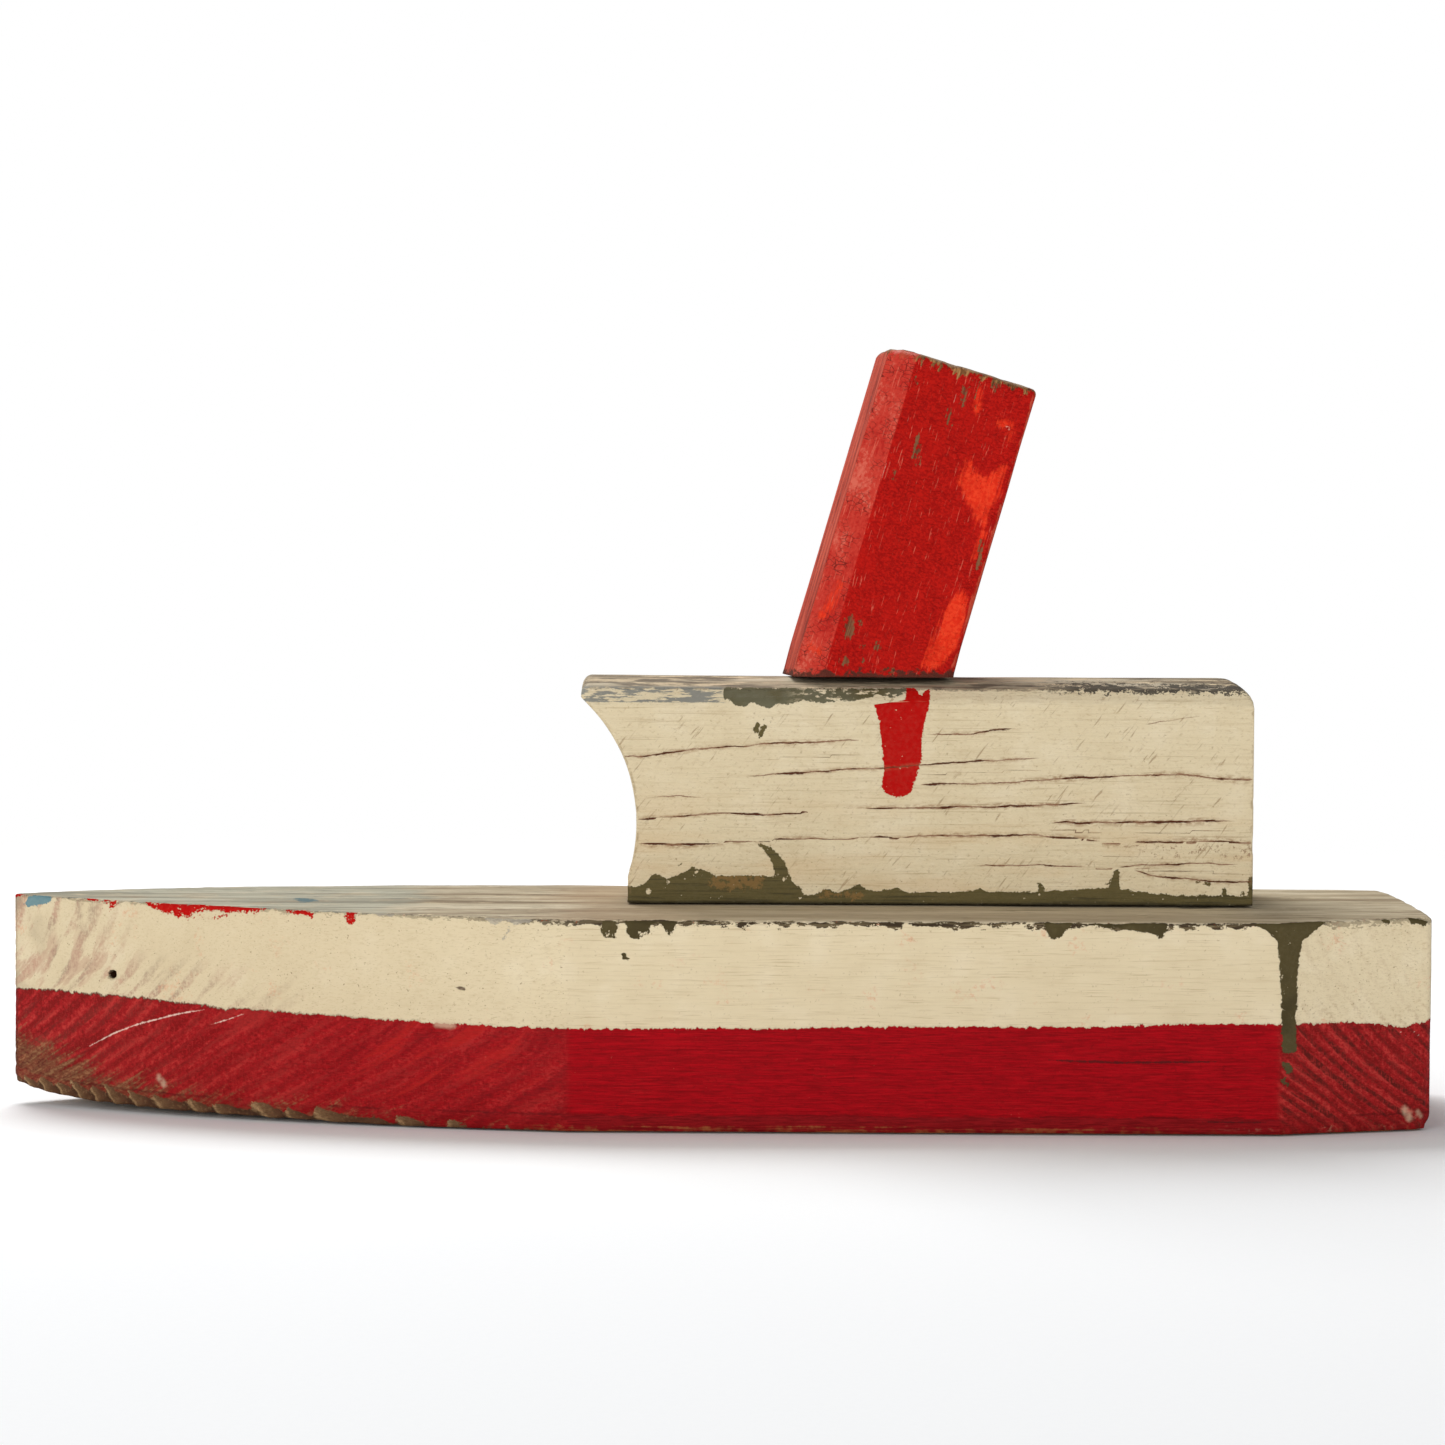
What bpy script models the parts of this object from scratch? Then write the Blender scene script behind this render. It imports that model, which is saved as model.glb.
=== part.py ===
"""A handmade wooden toy boat: a sawn hull, a cabin block and a raked square funnel, joined by wire nails.

Metres, +Z up. The bow points along -X and the stern along +X. The origin is the middle of the hull's
flat underside, midway between the stem and the transom.
"""

import math

import bmesh
import bpy

# Hull: a thick board, pointed at the bow and cut in a little at the stern.
HULL_LENGTH = 0.2848
BEAM = 0.092
DECK_EDGE_Z = 0.04155
DECK_Z = 0.0427
DECK_FLAT_HALF = 0.012
BOW_CUT_LENGTH = 0.1148
BOW_CUT_SLOPE = 0.2
STEM_HALF_WIDTH = 0.0008
STERN_CUT_LENGTH = 0.0312
STERN_CUT_DEPTH = 0.0108
ROCKER_LENGTH = 0.0824
ROCKER_RISE = 0.0019
FOREFOOT_RISE = 0.0024
BILGE_HEIGHT = 0.0034
BILGE_WIDTH = 0.0015
BOW_STATIONS = 14

# Nail hole in the near bow face, made by a tack that has been pulled out.
TACK_HOLE_X = -0.1205
TACK_HOLE_Z = 0.0276
TACK_HOLE_RADIUS = 0.0009
TACK_HOLE_DEPTH = 0.006

# Cabin: a long block with a scooped front end and a crowned, bevelled roof.
CABIN_FRONT_X = -0.01665
CABIN_BACK_X = 0.1087
CABIN_WIDTH = 0.041
CABIN_EAVE_Z = 0.0835
ROOF_EDGE_Z = 0.0862
ROOF_Z = 0.0881
ROOF_BEVEL = 0.0026
ROOF_BACK_CORNER_Z = 0.0830
SCOOP_RADIUS = 0.034
SCOOP_CENTRE_X = -0.04895
SCOOP_CENTRE_Z = 0.0589
SCOOP_FOOT_Z = 0.0484
FRONT_NOSE_X = -0.02615
FRONT_NOSE_RADIUS = 0.0018

# Funnel: a square block that rakes aft, turned a little on its nail.
FUNNEL_X = 0.03145
FUNNEL_SIDE = 0.031
FUNNEL_LENGTH = 0.0645
FUNNEL_RAKE = math.radians(16.3)
FUNNEL_TURN = math.radians(5.0)
FUNNEL_CHAMFER = 0.0053
FUNNEL_CORNER = 0.0012
FUNNEL_TOP_BEVEL = 0.0011
FUNNEL_CLEARANCE = 0.0008

# Wire nails, all of one size.
NAIL_LENGTH = 0.0762
NAIL_RADIUS = 0.0019
NAIL_HEAD_RADIUS = 0.0039
NAIL_HEAD_THICKNESS = 0.0014
NAIL_POINT_LENGTH = 0.006
NAIL_SINK = 0.0012
NAIL_SIDES = 20
CABIN_NAILS = {"cabin_nail_fore": 0.004, "cabin_nail_aft": 0.086}

GAP = 0.0003

HALF_LENGTH = HULL_LENGTH / 2
HALF_BEAM = BEAM / 2
SHOULDER_X = -HALF_LENGTH + BOW_CUT_LENGTH
STERN_CUT_X = HALF_LENGTH - STERN_CUT_LENGTH
ROCKER_X = -HALF_LENGTH + ROCKER_LENGTH
CABIN_FOOT_Z = DECK_Z + GAP
FUNNEL_FOOT_Z = ROOF_Z + FUNNEL_CLEARANCE

PAINTS = {
    "hull": ((0.42, 0.012, 0.015), 0.55, 0.0),
    "cabin": ((0.68, 0.58, 0.36), 0.6, 0.0),
    "funnel": ((0.46, 0.014, 0.010), 0.5, 0.0),
    "nail": ((0.20, 0.19, 0.18), 0.45, 1.0),
}


def clear_scene():
    for obj in list(bpy.data.objects):
        bpy.data.objects.remove(obj, do_unlink=True)


def paint(name):
    """A Principled material from the PAINTS table."""
    colour, roughness, metallic = PAINTS[name]
    material = bpy.data.materials.new(name)
    material.use_nodes = True
    shader = material.node_tree.nodes["Principled BSDF"]
    shader.inputs["Base Color"].default_value = (*colour, 1.0)
    shader.inputs["Roughness"].default_value = roughness
    shader.inputs["Metallic"].default_value = metallic
    return material


def add_object(name, mesh_builder, paint_name):
    """A mesh object made from a filled bmesh, with its own material and normals facing out."""
    bmesh.ops.recalc_face_normals(mesh_builder, faces=mesh_builder.faces)
    mesh = bpy.data.meshes.new(name)
    mesh_builder.to_mesh(mesh)
    mesh_builder.free()
    mesh.materials.append(paint(paint_name))
    obj = bpy.data.objects.new(name, mesh)
    bpy.context.scene.collection.objects.link(obj)
    return obj


def loft(rings):
    """A closed body through rings of equal length, with a flat cap on the first and the last."""
    builder = bmesh.new()
    rows = [[builder.verts.new(point) for point in ring] for ring in rings]
    count = len(rows[0])
    for low, high in zip(rows, rows[1:]):
        for i in range(count):
            j = (i + 1) % count
            builder.faces.new((low[i], low[j], high[j], high[i]))
    builder.faces.new(rows[0])
    builder.faces.new(rows[-1])
    return builder


def turned(name, profile, sides, paint_name):
    """A body turned about Z from (radius, height) points that start and end on the axis."""
    builder = bmesh.new()
    points = [builder.verts.new((radius, 0, height)) for radius, height in profile]
    edges = [builder.edges.new(pair) for pair in zip(points, points[1:])]
    bmesh.ops.spin(
        builder,
        geom=points + edges,
        axis=(0, 0, 1),
        cent=(0, 0, 0),
        angle=math.tau,
        steps=sides,
    )
    bmesh.ops.remove_doubles(builder, verts=builder.verts, dist=1e-6)
    return add_object(name, builder, paint_name)


def shade_round(obj, angle=math.radians(30)):
    obj.data.shade_smooth()
    obj.data.set_sharp_from_angle(angle=angle)


def cut(target, cutter):
    """Cuts one hidden wire-drawn body out of another."""
    cutter.hide_render = True
    cutter.display_type = "WIRE"
    modifier = target.modifiers.new(f"cut_{cutter.name}", "BOOLEAN")
    modifier.operation = "DIFFERENCE"
    modifier.solver = "EXACT"
    modifier.object = cutter


def half_breadth(x):
    """Half the hull's width at a station: full amidships, convex to the stem, straight to the transom."""
    if x < SHOULDER_X:
        along = SHOULDER_X - x
        straight = BOW_CUT_SLOPE * along
        rest = HALF_BEAM - STEM_HALF_WIDTH - BOW_CUT_SLOPE * BOW_CUT_LENGTH
        return HALF_BEAM - straight - rest * (along / BOW_CUT_LENGTH) ** 3
    if x > STERN_CUT_X:
        return HALF_BEAM - STERN_CUT_DEPTH * (x - STERN_CUT_X) / STERN_CUT_LENGTH
    return HALF_BEAM


def keel_height(x):
    """The underside is flat, rises slowly towards the bow, and is worn up quickly at the stem itself."""
    if x >= ROCKER_X:
        return 0.0
    along = (ROCKER_X - x) / ROCKER_LENGTH
    return ROCKER_RISE * along**1.5 + FOREFOOT_RISE * along**12


def deck_height(y):
    """The deck is flat under the cabin and falls away to the sides."""
    over = max(0.0, abs(y) - DECK_FLAT_HALF) / (HALF_BEAM - DECK_FLAT_HALF)
    return DECK_Z - (DECK_Z - DECK_EDGE_Z) * over**2


def hull_ring(x):
    """The hull's cross-section at a station, from one bilge round to the other."""
    half = half_breadth(x)
    keel = keel_height(x)
    bilge = min(BILGE_WIDTH, 0.6 * half)
    side = []
    for step in range(4):
        turn = math.radians(30 * step)
        y = half - bilge * (1 - math.sin(turn))
        side.append((y, keel + BILGE_HEIGHT * (1 - math.cos(turn))))
    for share in (1.0, 0.84, 0.66, 0.45, 0.2):
        side.append((half * share, deck_height(half * share)))
    mirrored = [(-y, z) for y, z in reversed(side)]
    return [(x, y, z) for y, z in side + mirrored]


def hull_stations():
    """Stations along the hull, closest together where the stem curves in."""
    stations = {-HALF_LENGTH, SHOULDER_X, STERN_CUT_X, HALF_LENGTH, ROCKER_X}
    for step in range(1, BOW_STATIONS):
        share = math.sin(math.pi / 2 * step / BOW_STATIONS)
        stations.add(SHOULDER_X - BOW_CUT_LENGTH * share)
    return sorted(stations)


def make_hull():
    hull = add_object("hull", loft([hull_ring(x) for x in hull_stations()]), "hull")
    shade_round(hull, math.radians(20))
    return hull


def roof_height(y):
    """The roof's height across the cabin: a bevel along each eave and a low crown between them."""
    half = CABIN_WIDTH / 2
    edge = half - ROOF_BEVEL
    if abs(y) >= edge:
        share = (abs(y) - edge) / ROOF_BEVEL
        return ROOF_EDGE_Z - (ROOF_EDGE_Z - CABIN_EAVE_Z) * share
    return ROOF_Z - (ROOF_Z - ROOF_EDGE_Z) * (y / edge) ** 2


def cabin_outline(roof):
    """The cabin's outline seen from the side, for a roof of this height."""
    points = [(CABIN_FRONT_X, CABIN_FOOT_Z), (CABIN_FRONT_X, SCOOP_FOOT_Z)]
    nose_z = roof - FRONT_NOSE_RADIUS
    for step in range(1, 10):
        z = SCOOP_FOOT_Z + (nose_z - SCOOP_FOOT_Z) * step / 9
        reach = math.sqrt(SCOOP_RADIUS**2 - (z - SCOOP_CENTRE_Z) ** 2)
        points.append((max(SCOOP_CENTRE_X + reach, FRONT_NOSE_X), z))
    nose_x = points[-1][0] + FRONT_NOSE_RADIUS
    for step in (1, 2, 3):
        turn = math.radians(30 * step)
        x = nose_x - FRONT_NOSE_RADIUS * math.cos(turn)
        points.append((x, nose_z + FRONT_NOSE_RADIUS * math.sin(turn)))
    corner = roof - ROOF_BACK_CORNER_Z
    for step in range(5):
        turn = math.radians(22.5 * step)
        x = CABIN_BACK_X - corner * (1 - math.sin(turn))
        points.append((x, ROOF_BACK_CORNER_Z + corner * math.cos(turn)))
    points.append((CABIN_BACK_X, CABIN_FOOT_Z))
    return points


def make_cabin():
    half = CABIN_WIDTH / 2
    edge = half - ROOF_BEVEL
    across = [-half, -edge, -0.7 * edge, -0.35 * edge, 0, 0.35 * edge, 0.7 * edge, edge, half]
    rings = [[(x, y, z) for x, z in cabin_outline(roof_height(y))] for y in across]
    cabin = add_object("cabin", loft(rings), "cabin")
    shade_round(cabin)
    return cabin


def funnel_section(inset):
    """The funnel's cross-section: wide chamfers at the bow corners, small rounds at the stern corners."""
    half = FUNNEL_SIDE / 2 - inset
    chamfer = FUNNEL_CHAMFER - inset * (2 - math.sqrt(2))
    centre = half - FUNNEL_CORNER
    far = []
    for step in range(4):
        turn = math.radians(30 * step)
        u = centre + FUNNEL_CORNER * math.cos(turn)
        far.append((u, centre + FUNNEL_CORNER * math.sin(turn)))
    far += [(-half + chamfer, half), (-half, half - chamfer)]
    return far + [(u, -v) for u, v in reversed(far)]


def make_funnel():
    """The funnel stands on its sawn foot, with its object's origin on the nail's axis."""
    sine, cosine = math.sin(FUNNEL_RAKE), math.cos(FUNNEL_RAKE)

    def placed(u, v, along):
        return (u * cosine + along * sine, v, along * cosine - u * sine)

    rings = [[placed(u, v, u * math.tan(FUNNEL_RAKE)) for u, v in funnel_section(0)]]
    for share in (1.0, 0.3, 0.0):
        drop = FUNNEL_TOP_BEVEL * share
        inset = FUNNEL_TOP_BEVEL * (1 - share)
        rings.append([placed(u, v, FUNNEL_LENGTH - drop) for u, v in funnel_section(inset)])
    funnel = add_object("funnel", loft(rings), "funnel")
    funnel.location = (FUNNEL_X, 0, FUNNEL_FOOT_Z)
    funnel.rotation_euler = (0, 0, FUNNEL_TURN)
    shade_round(funnel, math.radians(40))
    return funnel


def nail_profile(spare=0.0):
    """A nail's outline from its head up to its point, or that of the hole that it sits in."""
    head = NAIL_HEAD_RADIUS + spare
    shank = NAIL_RADIUS + spare
    top = NAIL_LENGTH + spare
    return [
        (0, -spare),
        (head, -spare),
        (head, NAIL_HEAD_THICKNESS + spare),
        (shank, NAIL_HEAD_THICKNESS + spare),
        (shank, top - NAIL_POINT_LENGTH),
        (0, top),
    ]


def make_nail(name, x, head_z, hosts):
    """A nail driven upwards, its hole in each block that it passes through, and its sunk head."""
    nail = turned(name, nail_profile(), NAIL_SIDES, "nail")
    nail.location = (x, 0, head_z)
    shade_round(nail)
    hole = nail_profile(GAP)
    sink = -(NAIL_SINK + 2 * GAP)
    hole[0] = (0, sink)
    hole[1] = (NAIL_HEAD_RADIUS + GAP, sink)
    for host in hosts:
        cutter = turned(f"{name}_hole_in_{host.name}", hole, NAIL_SIDES, "nail")
        cutter.location = (x, 0, head_z)
        cut(host, cutter)
    return nail


def make_tack_hole(hull):
    """A short blind hole, square to the near bow face."""
    step = 0.001
    slope = (half_breadth(TACK_HOLE_X + step) - half_breadth(TACK_HOLE_X - step)) / (2 * step)
    profile = [
        (0, -TACK_HOLE_DEPTH),
        (TACK_HOLE_RADIUS, -TACK_HOLE_DEPTH),
        (TACK_HOLE_RADIUS, TACK_HOLE_DEPTH),
        (0, TACK_HOLE_DEPTH),
    ]
    cutter = turned("tack_hole", profile, 12, "nail")
    cutter.location = (TACK_HOLE_X, -half_breadth(TACK_HOLE_X), TACK_HOLE_Z)
    cutter.rotation_euler = (math.pi / 2, 0, math.atan(-slope))
    cut(hull, cutter)


def main():
    clear_scene()
    hull = make_hull()
    cabin = make_cabin()
    funnel = make_funnel()
    make_tack_hole(hull)
    for name, x in CABIN_NAILS.items():
        make_nail(name, x, NAIL_SINK, [hull, cabin])
    make_nail("funnel_nail", FUNNEL_X, CABIN_FOOT_Z + NAIL_SINK, [cabin, funnel])


main()
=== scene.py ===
"""The looks of a handmade wooden toy boat: three painted, worn blocks of wood on hidden wire nails.

The hull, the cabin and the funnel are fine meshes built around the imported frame. Each carries
fields, in millimetres, that say where paint, drips, cracks and wear lie, and its material turns
them into paint. Lengths in this script are millimetres until a mesh is made.
"""

import math

import bpy
import numpy as np
from mathutils import Matrix, Vector


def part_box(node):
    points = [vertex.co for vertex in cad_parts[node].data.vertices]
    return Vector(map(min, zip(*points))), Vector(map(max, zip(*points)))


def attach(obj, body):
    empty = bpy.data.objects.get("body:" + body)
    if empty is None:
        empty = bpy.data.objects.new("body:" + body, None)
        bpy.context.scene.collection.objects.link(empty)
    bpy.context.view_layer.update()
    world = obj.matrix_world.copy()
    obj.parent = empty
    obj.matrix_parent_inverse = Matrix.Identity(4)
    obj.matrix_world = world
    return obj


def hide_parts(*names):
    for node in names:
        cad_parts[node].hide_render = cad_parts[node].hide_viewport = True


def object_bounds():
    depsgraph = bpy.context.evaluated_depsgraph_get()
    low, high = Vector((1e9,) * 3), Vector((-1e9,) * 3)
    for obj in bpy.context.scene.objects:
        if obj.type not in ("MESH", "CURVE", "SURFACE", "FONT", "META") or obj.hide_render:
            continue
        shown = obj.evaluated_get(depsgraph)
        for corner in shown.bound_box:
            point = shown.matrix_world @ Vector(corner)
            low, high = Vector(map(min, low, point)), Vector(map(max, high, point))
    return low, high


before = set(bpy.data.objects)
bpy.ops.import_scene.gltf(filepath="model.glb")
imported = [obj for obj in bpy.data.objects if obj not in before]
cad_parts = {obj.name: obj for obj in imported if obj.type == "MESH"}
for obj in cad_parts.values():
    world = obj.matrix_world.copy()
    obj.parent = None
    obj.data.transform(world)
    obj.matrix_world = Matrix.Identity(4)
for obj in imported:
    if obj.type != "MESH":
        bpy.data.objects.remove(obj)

CAD_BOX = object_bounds()
MM = 0.001


def node_box(node):
    """A CAD node's lowest and highest corners in millimetres."""
    low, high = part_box(node)
    return np.array(low) / MM, np.array(high) / MM


HULL_LOW, HULL_HIGH = node_box("hull")
CABIN_LOW, CABIN_HIGH = node_box("cabin")
FUNNEL_LOW, _ = node_box("funnel")

# Hull, as in the CAD model.
STEM_X, TRANSOM_X = HULL_LOW[0], HULL_HIGH[0]
HALF_BEAM = HULL_HIGH[1]
DECK_Z = HULL_HIGH[2]
DECK_DROP = 1.15
DECK_FLAT_HALF = 12.0
BOW_CUT_LENGTH = 114.8
BOW_CUT_SLOPE = 0.2
STEM_HALF_WIDTH = 0.8
STERN_CUT_LENGTH = 31.2
STERN_CUT_DEPTH = 10.8
ROCKER_LENGTH = 82.4
ROCKER_RISE = 1.9
FOREFOOT_RISE = 2.4
BILGE_HEIGHT = 3.4
BILGE_WIDTH = 1.5
SHOULDER_X = STEM_X + BOW_CUT_LENGTH
STERN_CUT_X = TRANSOM_X - STERN_CUT_LENGTH
NAIL_XS = (4.0, 86.0)
NAIL_PIT_RADIUS = 4.4
NAIL_PIT_DEPTH = 1.25
TACK_HOLE = (-120.6, 27.6)

# Cabin, as in the CAD model.
CABIN_FOOT_Z = CABIN_LOW[2]
CABIN_HALF = CABIN_HIGH[1]
CABIN_BACK_X = CABIN_HIGH[0]
EAVE_Z = 83.5
ROOF_EDGE_Z = 86.2
ROOF_Z = CABIN_HIGH[2]
ROOF_BEVEL = 2.6
ROOF_CORNER_Z = 83.0
SCOOP_RADIUS = 34.0
SCOOP_CENTRE = (-48.95, 58.9)
SCOOP_FOOT_Z = 48.4
FRONT_NOSE_X = CABIN_LOW[0]

# Funnel, as in the CAD model.
FUNNEL_X = 31.45
FUNNEL_HALF = 15.5
FUNNEL_LENGTH = 64.5
FUNNEL_RAKE = math.radians(16.3)
FUNNEL_TURN = math.radians(5.0)
FUNNEL_CHAMFER = 5.3
FUNNEL_EDGE = 1.3
FUNNEL_TOP_EDGE = 1.5
FUNNEL_FOOT_Z = FUNNEL_LOW[2]
FUNNEL_SINK = 0.6

NEAR, FAR = -1, 1  # the sides' signs in y: the camera looks at the near one
NOWHERE = -1e3  # a field's value where there is no mark
SKIN_MARGIN = 0.02  # how far the skins stay inside the CAD's boxes


# ---------------------------------------------------------------- noise and fields


def hashed(cells, seed):
    """Repeatable numbers from 0 to 1, one for each whole-number cell."""
    c = cells.astype(np.int64)
    n = c[..., 0] * 73856093 ^ c[..., 1] * 19349663 ^ c[..., 2] * 83492791 ^ seed * 2654435761
    for shift, factor in ((15, 2246822519), (13, 3266489917)):
        n &= 0xFFFFFFFF
        n = (n ^ (n >> shift)) * factor
    n &= 0xFFFFFFFF
    return ((n ^ (n >> 16)) & 0xFFFFFF) / 0xFFFFFF


def noise(points, size, seed):
    """Smooth noise from -1 to 1. size is its features' size, one number or one for each axis."""
    p = points / np.asarray(size, float)
    base = np.floor(p)
    part = p - base
    part = part * part * (3 - 2 * part)
    total = np.zeros(len(points))
    for corner in np.ndindex(2, 2, 2):
        weight = np.prod(np.where(corner, part, 1 - part), axis=-1)
        total += weight * hashed(base + corner, seed)
    return 2 * total - 1


def fractal(points, size, octaves, seed):
    """Noise with finer and weaker layers added to it."""
    total, share, size = 0, 1.0, np.asarray(size, float)
    for octave in range(octaves):
        total = total + share * noise(points, size, seed + octave)
        share, size = share / 2, size / 2
    return total


def smooth(value, low, high):
    """0 below low, 1 above high, and a smooth step between them."""
    t = np.clip((value - low) / (high - low), 0, 1)
    return t * t * (3 - 2 * t)


def along(value, knots):
    """The straight-sided curve through (place, value) pairs."""
    places, values = zip(*knots)
    return np.interp(value, places, values)


def stroke(s, t, points):
    """How far (s, t) lies inside a stroke given as (s, t, radius) points. Outside is negative."""
    best = np.full(len(s), NOWHERE)
    if len(points) == 1:
        points = points * 2
    for (s0, t0, r0), (s1, t1, r1) in zip(points, points[1:]):
        ds, dt = s1 - s0, t1 - t0
        share = ((s - s0) * ds + (t - t0) * dt) / max(ds * ds + dt * dt, 1e-9)
        share = np.clip(share, 0, 1)
        gap = np.hypot(s - s0 - share * ds, t - t0 - share * dt)
        best = np.maximum(best, r0 + share * (r1 - r0) - gap)
    return best


def strokes(s, t, many):
    """The union of several strokes."""
    return np.max([stroke(s, t, points) for points in many], axis=0)


def drip(s, t, centre, top, end, width, flare=0.0, fall=3.0, lean=0.0):
    """A run of paint that starts at height top, flares where it starts, and ends in a round tip."""
    drop = np.maximum(top - t, 0)
    half = width / 2 + flare * np.exp(-drop / fall)
    middle = centre + lean * drop
    tip = end + width / 2
    side = half - np.abs(s - middle)
    round_tip = width / 2 - np.hypot(s - middle, np.minimum(t - tip, 0))
    return np.where(t < tip, round_tip, np.minimum(side, top - t + 2.0))


def drips(s, t, many):
    """The union of several drips, each a tuple of drip's own numbers."""
    return np.max([drip(s, t, *numbers) for numbers in many], axis=0)


def between(s, t, left, right):
    """How far (s, t) lies between two edges, each given as (t, s) pairs from the bottom up."""
    inside = np.minimum(s - along(t, left), along(t, right) - s)
    return np.minimum(inside, t - left[0][0])


# ---------------------------------------------------------------- mesh building


def stations(low, high, step, finer=()):
    """Places from low to high about step apart, closer near each (place, reach, step) in finer."""
    fine = np.linspace(low, high, 4001)
    spacing = np.full(len(fine), float(step))
    for place, reach, near_step in finer:
        share = smooth(np.abs(fine - place), reach, 1.6 * reach)
        spacing = np.minimum(spacing, near_step + (step - near_step) * share)
    steps = np.concatenate([[0], np.cumsum((fine[1] - fine[0]) / spacing[:-1])])
    count = max(2, int(round(steps[-1])))
    return np.interp(np.linspace(0, steps[-1], count + 1), steps, fine)


def block(us, vs, ws):
    """The skin of a box as one closed grid: its points (u, v, w) and its quads, facing out."""
    axes = [np.asarray(values) for values in (us, vs, ws)]
    counts = [len(values) for values in axes]
    places = np.indices(counts)
    outer = np.zeros(counts, bool)
    for axis in range(3):
        outer |= (places[axis] == 0) | (places[axis] == counts[axis] - 1)
    index = np.full(counts, -1)
    index[outer] = np.arange(outer.sum())
    points = np.stack([axes[axis][places[axis][outer]] for axis in range(3)], axis=1)
    quads = []
    for axis in range(3):
        for end in (0, -1):
            face = np.take(index, end, axis=axis)
            corners = [face[:-1, :-1], face[1:, :-1], face[1:, 1:], face[:-1, 1:]]
            if (end == 0) != (axis == 1):
                corners.reverse()
            quads.append(np.stack(corners, axis=-1).reshape(-1, 4))
    return points, np.concatenate(quads)


def rounded(gaps, radii):
    """Rounds a box's edges. gaps are a skin point's distances from the faces that meet there."""
    radii = [np.maximum(radius, 1e-3) for radius in radii]
    inward = [np.minimum(gap - radius, 0) / radius for gap, radius in zip(gaps, radii)]
    length = np.maximum(np.sqrt(sum(d * d for d in inward)), 1e-9)
    moved = []
    for gap, radius, d in zip(gaps, radii, inward):
        moved.append(np.where(gap < radius, radius + radius * d / length, gap))
    return moved


def outward(points, quads):
    """Each vertex's outward unit normal."""
    a, b, c, d = (points[quads[:, corner]] for corner in range(4))
    faces = np.cross(c - a, d - b)
    total = np.zeros_like(points)
    for corner in range(4):
        for axis in range(3):
            total[:, axis] += np.bincount(quads[:, corner], faces[:, axis], len(points))
    return total / np.maximum(np.linalg.norm(total, axis=1, keepdims=True), 1e-12)


def relaxed(points, quads, rounds):
    """Softens edges a little by moving each vertex towards its neighbours."""
    ends = np.concatenate([quads[:, [i, (i + 1) % 4]] for i in range(4)])
    degree = np.bincount(ends[:, 0], minlength=len(points))[:, None]
    for _ in range(rounds):
        near = np.zeros_like(points)
        for axis in range(3):
            near[:, axis] = np.bincount(ends[:, 0], points[ends[:, 1], axis], len(points))
        points = 0.5 * points + 0.5 * near / degree
    return points


def make_piece(name, points, quads, fields, material, body, nodes):
    """A smooth-shaded mesh piece that carries its fields and stands for CAD nodes."""
    mesh = bpy.data.meshes.new(name)
    mesh.from_pydata((points * MM).tolist(), [], quads.tolist())
    for field, values in fields.items():
        kind = "FLOAT_VECTOR" if values.ndim == 2 else "FLOAT"
        attribute = mesh.attributes.new(field, kind, "POINT")
        target = "vector" if values.ndim == 2 else "value"
        attribute.data.foreach_set(target, values.astype(np.float32).ravel())
    mesh.shade_smooth()
    mesh.materials.append(material)
    piece = bpy.data.objects.new(name, mesh)
    bpy.context.scene.collection.objects.link(piece)
    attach(piece, body)
    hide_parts(*nodes)
    return piece


# ---------------------------------------------------------------- hull


def half_breadth(x):
    """Half the hull's width at a station."""
    fore = np.clip((SHOULDER_X - x) / BOW_CUT_LENGTH, 0, 1)
    aft = np.clip((x - STERN_CUT_X) / STERN_CUT_LENGTH, 0, 1)
    bow_curve = HALF_BEAM - STEM_HALF_WIDTH - BOW_CUT_SLOPE * BOW_CUT_LENGTH
    bow_cut = BOW_CUT_SLOPE * BOW_CUT_LENGTH * fore + bow_curve * fore**3
    return HALF_BEAM - bow_cut - STERN_CUT_DEPTH * aft


def keel_height(x):
    """How far the underside curves up towards the stem."""
    share = np.clip((STEM_X + ROCKER_LENGTH - x) / ROCKER_LENGTH, 0, 1)
    return ROCKER_RISE * share**1.5 + FOREFOOT_RISE * share**12


def deck_height(y):
    """The deck is flat along its middle and falls away to the sides."""
    over = np.maximum(np.abs(y) - DECK_FLAT_HALF, 0) / (HALF_BEAM - DECK_FLAT_HALF)
    return DECK_Z - DECK_DROP * over**2


def ring_radius(y, z):
    """Distance from the tree's heart, which lies just above the deck. It makes the growth rings."""
    pith_z, open_out, reach = 46.0, 2.2, 12.0
    flat = np.abs(y)
    crowd = reach * reach - reach * (flat + reach) * np.exp(-flat / reach)
    return np.sqrt(open_out * y * y + 10 * crowd + (pith_z - z) ** 2)


def facet_rings(x, z):
    """Where the slanting lines of the growth rings cross the sawn facets, counted in rings."""
    slant = 1.75 * z - 0.018 * z * z
    fore = x - slant * (1 + 0.0018 * (x - STEM_X))
    aft = TRANSOM_X - x - 0.9 * slant
    places = np.arange(-260.0, 40.0, 1.0)
    spacing = np.interp(places, (-180, -120, -95, -70, -45), (4.2, 4.6, 5.4, 7.6, 9.5))
    counted = np.concatenate([[0], np.cumsum(1 / spacing[:-1])])
    return np.where(x < 0, np.interp(fore, places, counted), aft / 3.6)


def scallops(x, above_keel):
    """The worn bottom edge's scallops, counted from the stem. They lean forward as they rise."""
    places = np.arange(-150.0, 150.0, 0.5)
    spacing = np.interp(places, (-142, -122, -103, -83, -63, -40), (3.4, 4.6, 6.2, 7.6, 9.0, 10.5))
    counted = np.concatenate([[0], np.cumsum(0.5 / spacing[:-1])])
    return np.interp(x + 0.7 * above_keel, places, counted)


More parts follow.
